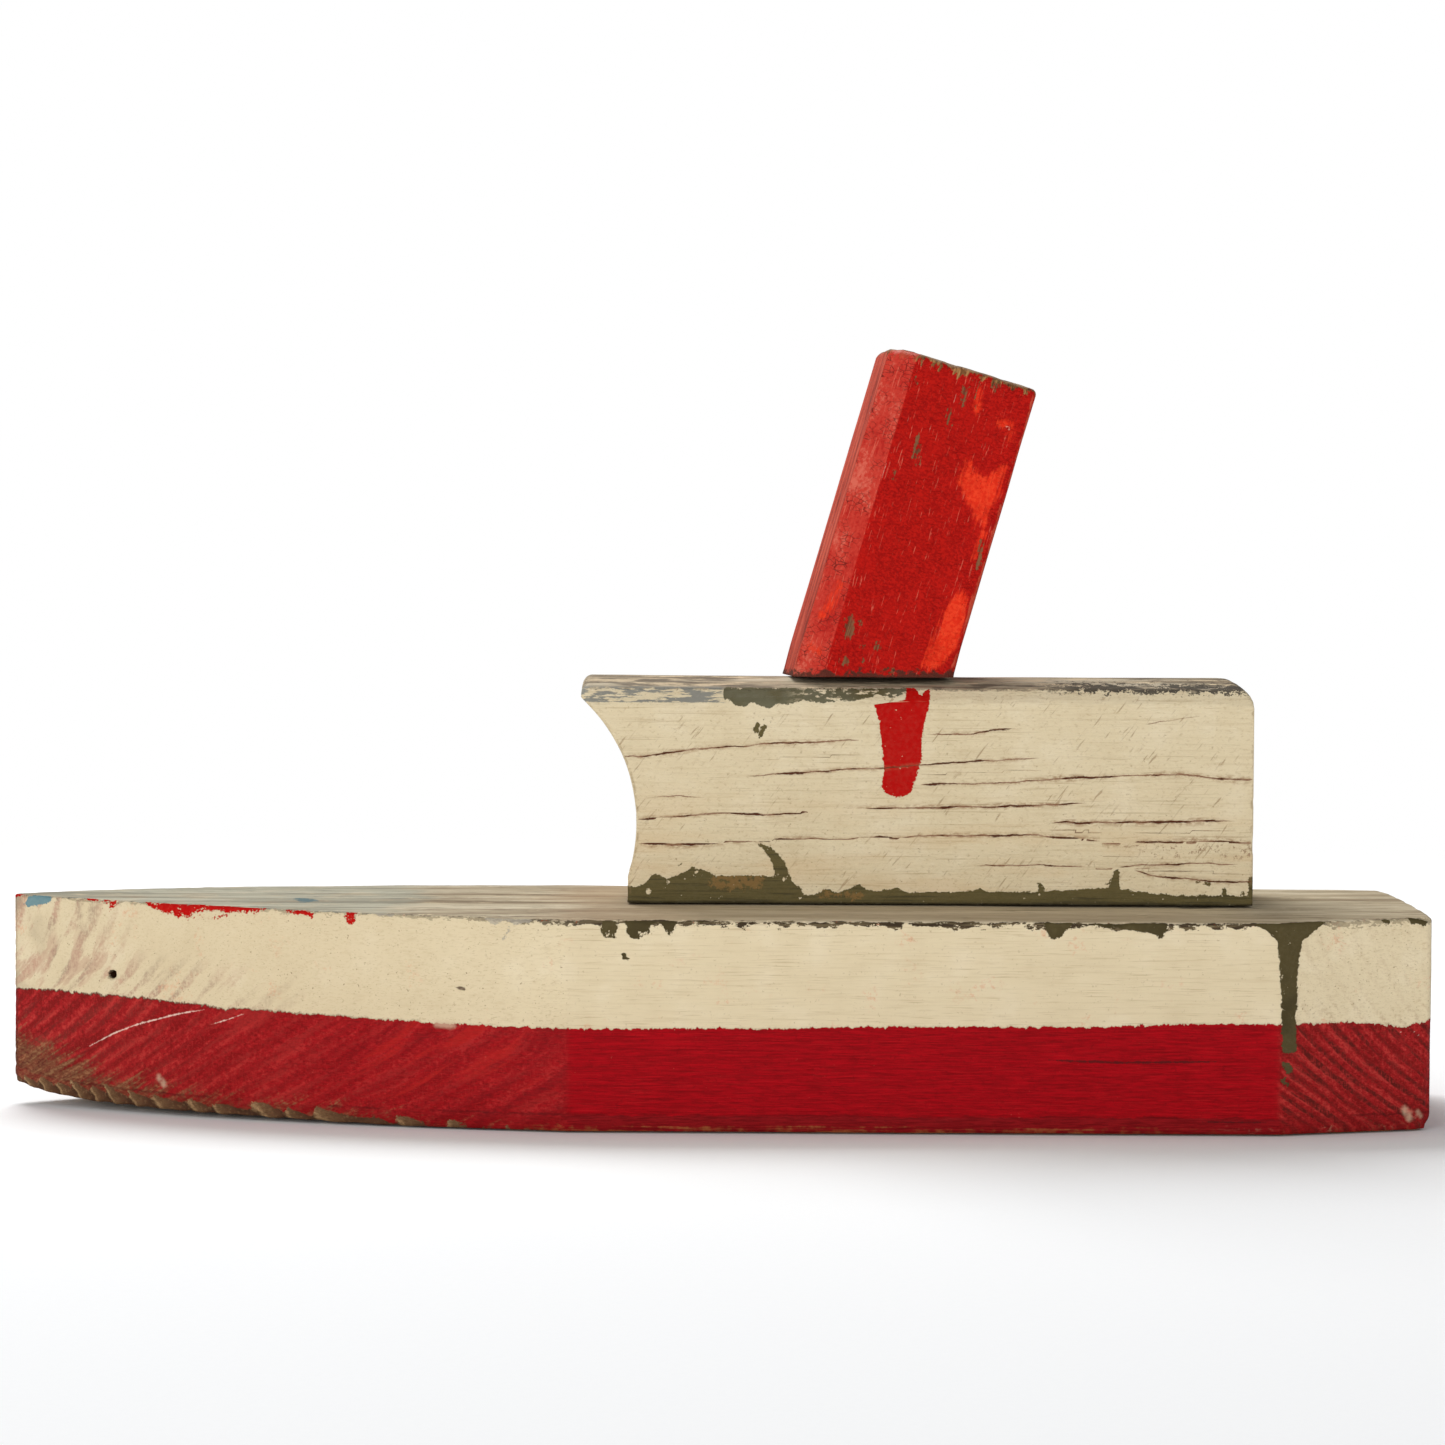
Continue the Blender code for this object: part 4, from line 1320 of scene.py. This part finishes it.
def cabin_material():
    """Cracked cream sides, bare roof, olive and red paint at eave and foot, painted light and
    shade.
    """
    g = Graph("cabin_paint")
    run, across, _ = g.stations()
    g.wobbles(1.8)
    wood, wood_height = weathered_wood(g, (18, 2, 1.8))
    speckle = g.noise(0.9, 3, 0.6)
    patchy = g.noise(8, 3, 0.55)
    brush = g.noise((14, 1.1, 0.5), 4, 0.6)
    hair = g.noise((18, 0.6, 0.36), 4, 0.65, 0.3, shift=11)
    peel_and_painted_light = g.noise((1.1, 0.8, 0.6), 3, 0.6, shift=5)
    saw = g.noise((0.5, 1, 5), 2, 0.5, 0.3, shift=6, lean=-38)
    up = g.field("up")
    gap = abs(g.field("crack_gap") + g.fine * 0.3)
    width = g.field("crack_width")
    dash = g.noise((7, 5, 2.4), 5, 0.62, shift=3)
    hairline = g.step(width * 0.4 + 0.1 - gap, -0.05, 0.1)
    hairline = hairline * (0.55 + g.step(dash, 0.36, 0.56) * 0.45) * g.step(width, -0.02, 0.06)
    open_crack = g.step(width * 0.55 + (dash - 0.53) * 2.4 - gap, -0.05, 0.16)
    open_crack = open_crack * g.step(width, 0, 0.1) * g.step(gap, 0.55, 0.3)
    near_crack = g.step(width * 2.6 + 0.6 - gap, 0, 1.1) * g.step(width, 0, 0.12)
    halo = near_crack * g.spots(0.38, 0.62, (1.6, 1.6, 0.6), 4, 0.7, shift=3)

    cream = cream_paint(g, patchy, brush, speckle, hair)
    ticks = g.step(saw, 0.62, 0.72) * g.spots(0.42, 0.6, 6, 2, shift=31)
    # Painted light: the peel's crests are painted lighter and its hollows darker, on top of its
    # bumps.
    cream = g.layers(cream, [
        (ticks * 0.6, rgb(150, 120, 88)),
        (g.step(peel_and_painted_light, 0.44, 0.32) * 0.3, rgb(176, 152, 116)),
        (g.step(peel_and_painted_light, 0.58, 0.7) * 0.25, rgb(232, 220, 192)),
    ])
    pepper = g.spots(0.64, 0.74, (0.9, 0.9, 0.5), 3, 0.7, shift=17)
    low = g.step(g.field("foot_gap"), 32, 8)
    cream = g.blend(pepper * (0.3 + low * 0.5), cream, rgb(126, 96, 68))
    warm = g.spots(0.44, 0.66, (30, 10, 5), 3, shift=36) * low * 0.3
    cream = g.blend(warm, cream, rgb(206, 174, 130))
    spots = g.spots(0.54, 0.64, 0.7, 3, 0.75, shift=51)
    spots = spots * g.step(abs(g.field("foot_gap") - 11) + g.coarse * 2, 2.6, 0.6)
    cream = g.blend(
        spots * g.step(run, 80, 94) * g.step(across, 1, -1) * 0.7, cream, rgb(132, 94, 68),
    )

    def reach(low_x, high_x, fade=4.0):
        """1 between two stations along the cabin, with an uneven fade."""
        here = run + (patchy - 0.5) * 8
        return g.step(here, low_x - fade, low_x) * g.step(here, high_x + fade, high_x)

    # Above the eave the roof is bare. Leftover paints lie along the bevel between.
    near = g.step(across, 1, -1)
    roof = g.ragged(up - 2.35, 0.25, 0.15)
    roof_patch = g.spots(0.5, 0.57, (26, 7, 6), 5, 0.65, 0.4, shift=41) * 0.75
    roof_wood = g.blend(
        roof_patch, wood, g.blend(g.step(run, 40, 70), rgb(104, 94, 80), rgb(82, 72, 60)),
    )
    roof_wood = g.blend(
        g.spots(0.52, 0.6, (14, 4, 3), 5, 0.7, shift=43) * 0.8, roof_wood, rgb(216, 196, 162),
    )
    colour = g.blend(roof, cream, roof_wood)
    bevel = g.ragged(up + 0.25, 0.12, 0.1) * g.step(up - 2.6, 0.5, -0.1)
    flakes = g.spots(0.44, 0.49, (5, 2.5, 0.8), 4, 0.65, shift=15)
    colour = g.blend(bevel * flakes * near * g.step(run, 3.5, 1.5), colour, BLUE_GREY)
    strip = g.ragged(0.75 - abs(up - 2.75), 0.9, 0.12)
    strip = strip * g.spots(0.32, 0.44, (9, 3, 1.2), 4, 0.65, shift=45)
    colour = g.blend(strip * near * reach(74, 106, 12) * 0.9, colour, rgb(62, 57, 50))

    paint_height = (1 - roof) * 0.09
    eave = g.ragged(g.field("eave_olive"), 0.22, 0.08)
    worn_eave = g.step(run, 14, 22) * g.spots(0.52, 0.58, (2.4, 2.4, 0.9), 4, 0.65, shift=21)
    eave = eave * (1 - worn_eave)
    colour = g.blend(
        eave, colour, g.blend(g.step(patchy, 0.35, 0.7), rgb(104, 100, 78), rgb(94, 86, 58)),
    )
    for field, paint, amount in (("olive", rgb(92, 82, 50), 0.22), ("splash", SPLASH_RED, 0.26)):
        cover = g.ragged(g.field(field), amount, 0.07)
        flecks = g.spots(0.68, 0.73, 0.9, 3, shift=28) * 0.8
        cover = cover * (1 - flecks)
        shade = g.blend(g.step(speckle, 0.4, 0.65) * 0.5, paint, g.blend(0.03, paint, CREAM))
        if field == "olive":
            stained = g.ragged(g.field("stain"), 0.7, 0.25)
            shade = g.layers(shade, [
                (g.step(brush, 0.46, 0.6) * 0.5, rgb(104, 92, 58)),
                (g.step(brush, 0.46, 0.34) * 0.6, OLIVE_DARK),
                (stained * g.step(speckle, 0.36, 0.5) * 0.85, rgb(132, 102, 60)),
            ])
        colour = g.blend(cover, colour, shade)
        paint_height = paint_height + cover * 0.06

    arris = g.step(abs(up - 0.05), 0.16, 0.04) * g.step(brush, 0.46, 0.52)
    splash_here = g.ragged(g.field("splash"), 0.22, 0.07)
    colour = g.blend(arris * splash_here * 0.8, colour, rgb(226, 176, 140))
    ends = g.field("end_gap")
    corner = (
        g.step(ends, 0.9, 0.1) * (0.12 + g.field("is_side") * 0.88)
        * g.spots(0.46, 0.58, 2.4, 4, shift=33)
    )
    colour = g.layers(colour, [
        (corner * 0.75, rgb(136, 112, 82)),
        (halo * 0.7, rgb(152, 116, 84)),
        (hairline * 0.95, rgb(116, 70, 48)),
        (open_crack * 0.95, rgb(82, 42, 28)),
    ])
    # Painted shade: a dark line along the cabin's foot, where it meets the deck.
    foot_shade_line = g.step(g.field("foot_gap"), 0.7, 0.1)
    colour = g.blend(foot_shade_line * 0.7, colour, rgb(40, 36, 26))

    side = 1 - roof
    height = (
        wood_height * (1 - side * 0.9) + brush * side * 0.12 + peel_and_painted_light * side * 0.3 + speckle * 0.04
        + hair * side * 0.08 + ticks * -0.06 + paint_height + open_crack * -0.22
    )
    gloss = 0.56 + (brush - 0.5) * 0.3 + roof * 0.25
    return g.finish(colour, gloss, height, 0.07, 0.9)


def funnel_material():
    """Thin red paint, painted sheen on chamfers, orange touches, a worn top. Its noise rides with
    it.
    """
    g = Graph("funnel_paint", "local")
    g.wobbles(1.6)
    wood, wood_height = weathered_wood(g, (1.5, 1.5, 24))
    speckle = g.noise(0.8, 3, 0.6)
    weave = g.noise((0.55, 0.55, 0.4), 2, 0.6, shift=2)
    patchy = g.noise(8, 3, 0.55)
    brush = g.noise((0.5, 0.5, 11), 4, 0.6)
    chamfer = g.field("chamfer")
    bow_face = g.field("bow_face")
    craze = g.cells((1.7, 1.7, 0.9))
    crazed = g.step(craze, 0.06, 0.01) * g.spots(0.42, 0.58, 4, 4, 0.6, shift=5)

    red = g.blend(g.step(weave, 0.38, 0.62), rgb(156, 8, 4), rgb(184, 20, 10))
    red = g.layers(red, [
        (g.step(patchy, 0.4, 0.72) * 0.4, rgb(190, 20, 10)),
        (g.step(brush, 0.56, 0.7) * 0.4, rgb(142, 14, 10)),
    ])
    # Painted sheen: the chamfers are painted a paler, pinker red.
    chamfer_sheen = g.ramp(
        patchy * 0.6 + speckle * 0.4, (0.36, rgb(222, 108, 88)), (0.5, rgb(204, 62, 48)),
        (0.64, rgb(184, 38, 30)),
    )
    red = g.blend(chamfer * 0.9, red, chamfer_sheen)
    timber = g.ramp(
        g.noise((0.8, 3.2, 16), 5, 0.65, shift=37), (0.36, rgb(132, 52, 38)),
        (0.48, rgb(184, 74, 56)), (0.62, rgb(206, 96, 74)),
    )
    red = g.layers(red, [
        (bow_face * 0.9, timber),
        (crazed * (0.2 + chamfer * 0.6), rgb(84, 22, 18)),
    ])
    fleck = (
        g.spots(0.61, 0.68, (0.4, 0.4, 4.5), 3, 0.6, shift=9) * g.step(patchy, 0.38, 0.54) * 0.65
    )
    colour = g.blend(fleck, red, rgb(222, 108, 86))

    orange = g.field("orange") + (brush - 0.5) * 4 + g.coarse * 2 + 0.35
    orange = (
        g.step(orange, -0.5, 0.7) * g.step(weave, 0.22, 0.36)
        * (0.5 + g.step(patchy, 0.36, 0.56) * 0.4)
    )
    colour = g.blend(
        orange, colour, g.blend(g.step(speckle, 0.4, 0.6), rgb(226, 46, 20), rgb(240, 66, 34)),
    )
    stern_edge = 0.7 - g.field("corner_gap") + (g.noise((1.5, 1.5, 6), 4, 0.65, shift=29) - 0.5) * 4
    colour = g.blend(g.step(stern_edge, -0.1, 0.3) * 0.75, colour, rgb(196, 84, 60))
    bare_spots = g.field("olive") + (brush - 0.5) * 3 + (speckle - 0.5) * 2.4
    bare_spots = g.step(bare_spots, -0.12, 0.25) * 0.85
    colour = g.blend(
        bare_spots, colour, g.blend(g.step(brush, 0.4, 0.6), rgb(78, 52, 34), rgb(122, 92, 62)),
    )
    broken = g.field("scratch") + (speckle - 0.46) * 0.3
    colour = g.blend(g.step(broken, -0.04, 0.1) * 0.75, colour, rgb(226, 156, 136))

    top_gap = g.field("top_gap")
    is_top = g.field("is_top")
    rim = 1.4 - top_gap + (g.noise((1.3, 1.3, 3.4), 4, 0.6, shift=16) - 0.5) * 9
    rim = g.step(rim, -0.15, 0.35) * g.step(top_gap, 7, 4)
    worn_top = is_top * g.spots(0.36, 0.5, 3, 4, shift=19)
    bare = g.math("MAXIMUM", rim, worn_top) * (1 - chamfer * 0.7)
    bare_wood = g.ramp(
        g.noise((0.8, 0.8, 6), 4, 0.65, shift=22), (0.34, rgb(58, 40, 26)),
        (0.48, rgb(120, 88, 52)), (0.68, rgb(186, 140, 88)),
    )
    bare_wood = g.blend(is_top * 0.6, bare_wood, wood)
    colour = g.blend(bare * 0.9, colour, bare_wood)
    # The funnel is darker along its foot.
    foot_gap = g.field("foot_gap")
    darker_foot = 1.2 - foot_gap + (g.noise((1.8, 1.8, 1.4), 4, 0.65, shift=23) - 0.5) * 5.5
    colour = g.blend(g.step(darker_foot, -0.2, 0.5) * 0.85, colour, rgb(62, 44, 34))

    height = (
        wood_height * (0.2 + bare * 0.8) + brush * 0.1 + weave * 0.08 + speckle * 0.05
        + crazed * -0.06 + orange * 0.05 + bare * -0.1 + bare_spots * -0.1
    )
    gloss = 0.48 + (brush - 0.5) * 0.3 + bare * 0.3
    return g.finish(colour, gloss, height, 0.06, 0.9)


def nail_material():
    """Dull drawn wire with rust."""
    g = Graph("nail_steel")
    rust = g.spots(0.44, 0.6, 1.4, 4, 0.6)
    scale = g.noise((0.5, 0.5, 3), 3)
    steel = g.blend(scale, rgb(96, 92, 88), rgb(132, 128, 122))
    colour = g.blend(rust, steel, rgb(98, 54, 30))
    g.put(g.shader.inputs["Metallic"], 0.9 - rust * 0.8)
    return g.finish(colour, 0.42 + rust * 0.4, (rust + scale) * 0.05, 0.5)


def floor_material():
    """Pale paper with a faint tooth. It thins out to nothing away from the boat."""
    g = Graph("studio_paper")
    tooth = g.noise(1.5, 3)
    away = g.wrap("ShaderNodeVectorMath", "Value", {0: g.here}, operation="LENGTH")
    g.put(g.shader.inputs["Alpha"], g.step(away, 900, 320))
    colour = g.blend(tooth, rgb(247, 248, 249), rgb(250, 251, 252))
    return g.finish(colour, 0.9 + tooth * 0.05, tooth * 0.02, 0, 0.3)


# ---------------------------------------------------------------- studio


def make_floor():
    """A sheet of paper under the boat."""
    mesh = bpy.data.meshes.new("studio_floor")
    reach, under_boat = 1.0, 0.0002
    corners = [(-reach, -reach, 0), (reach, -reach, 0), (reach, reach, 0), (-reach, reach, 0)]
    mesh.from_pydata(corners, [], [(0, 1, 2, 3)])
    mesh.materials.append(floor_material())
    floor = bpy.data.objects.new("studio_floor", mesh)
    floor.location.z = CAD_BOX[0].z - under_boat
    bpy.context.scene.collection.objects.link(floor)


def area_light(name, place, target, size, power):
    light = bpy.data.lights.new(name, "AREA")
    light.shape = "DISK"
    light.size = size
    light.energy = power
    lamp = bpy.data.objects.new(name, light)
    lamp.location = place
    lamp.rotation_euler = (Vector(target) - Vector(place)).to_track_quat("-Z", "Y").to_euler()
    bpy.context.scene.collection.objects.link(lamp)


def make_lights():
    """A white room, dark in its reflections, with three low soft boxes in front and one behind."""
    world = bpy.data.worlds.new("studio")
    bpy.context.scene.world = world
    world.use_nodes = True
    nodes, links = world.node_tree.nodes, world.node_tree.links
    path = nodes.new("ShaderNodeLightPath")
    lit = nodes["Background"]
    for strength, ray in ((0.38, None), (0.12, "Is Glossy Ray"), (1.0, "Is Camera Ray")):
        glow = nodes.new("ShaderNodeBackground")
        glow.inputs["Color"].default_value = (1, 1, 1, 1)
        glow.inputs["Strength"].default_value = strength
        if ray:
            mix = nodes.new("ShaderNodeMixShader")
            links.new(path.outputs[ray], mix.inputs["Fac"])
            links.new(lit.outputs[0], mix.inputs[1])
            links.new(glow.outputs[0], mix.inputs[2])
            lit = mix
        else:
            lit = glow
    links.new(lit.outputs[0], nodes["World Output"].inputs["Surface"])
    middle = (0, 0, 0.06)
    area_light("key", (-0.60, -1.30, 0.24), middle, 0.6, 7.0)
    area_light("left", (-1.25, -0.15, 0.45), middle, 0.6, 2.1)
    area_light("right", (0.90, -1.25, 0.20), middle, 0.8, 5.2)
    area_light("back", (-0.32, 0.78, 1.05), middle, 0.8, 16.0)


def make_camera():
    """A long lens near deck height, pitched down a little."""
    camera = bpy.data.cameras.new("camera")
    camera.sensor_width = 36.0
    camera.lens = 112.45
    pitch, roll = math.radians(2.06), math.radians(0.3)
    ahead = Vector((0, math.cos(pitch), -math.sin(pitch)))
    level = Vector((1, 0, 0))
    upright = level.cross(ahead)
    right = level * math.cos(roll) + upright * math.sin(roll)
    top = right.cross(ahead)
    turn = Matrix((right, top, -ahead)).transposed().to_4x4()
    eye = bpy.data.objects.new("camera", camera)
    eye.matrix_world = Matrix.Translation((0.00225, -0.923, 0.1117)) @ turn
    bpy.context.scene.collection.objects.link(eye)
    bpy.context.scene.camera = eye


def main():
    bpy.context.scene.view_settings.view_transform = "Standard"
    make_camera()
    make_hull(hull_material())
    make_cabin(cabin_material())
    make_funnel(funnel_material())
    steel = nail_material()
    for name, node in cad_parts.items():
        if "nail" in name:
            node.data.materials.clear()
            node.data.materials.append(steel)
    make_floor()
    make_lights()


main()
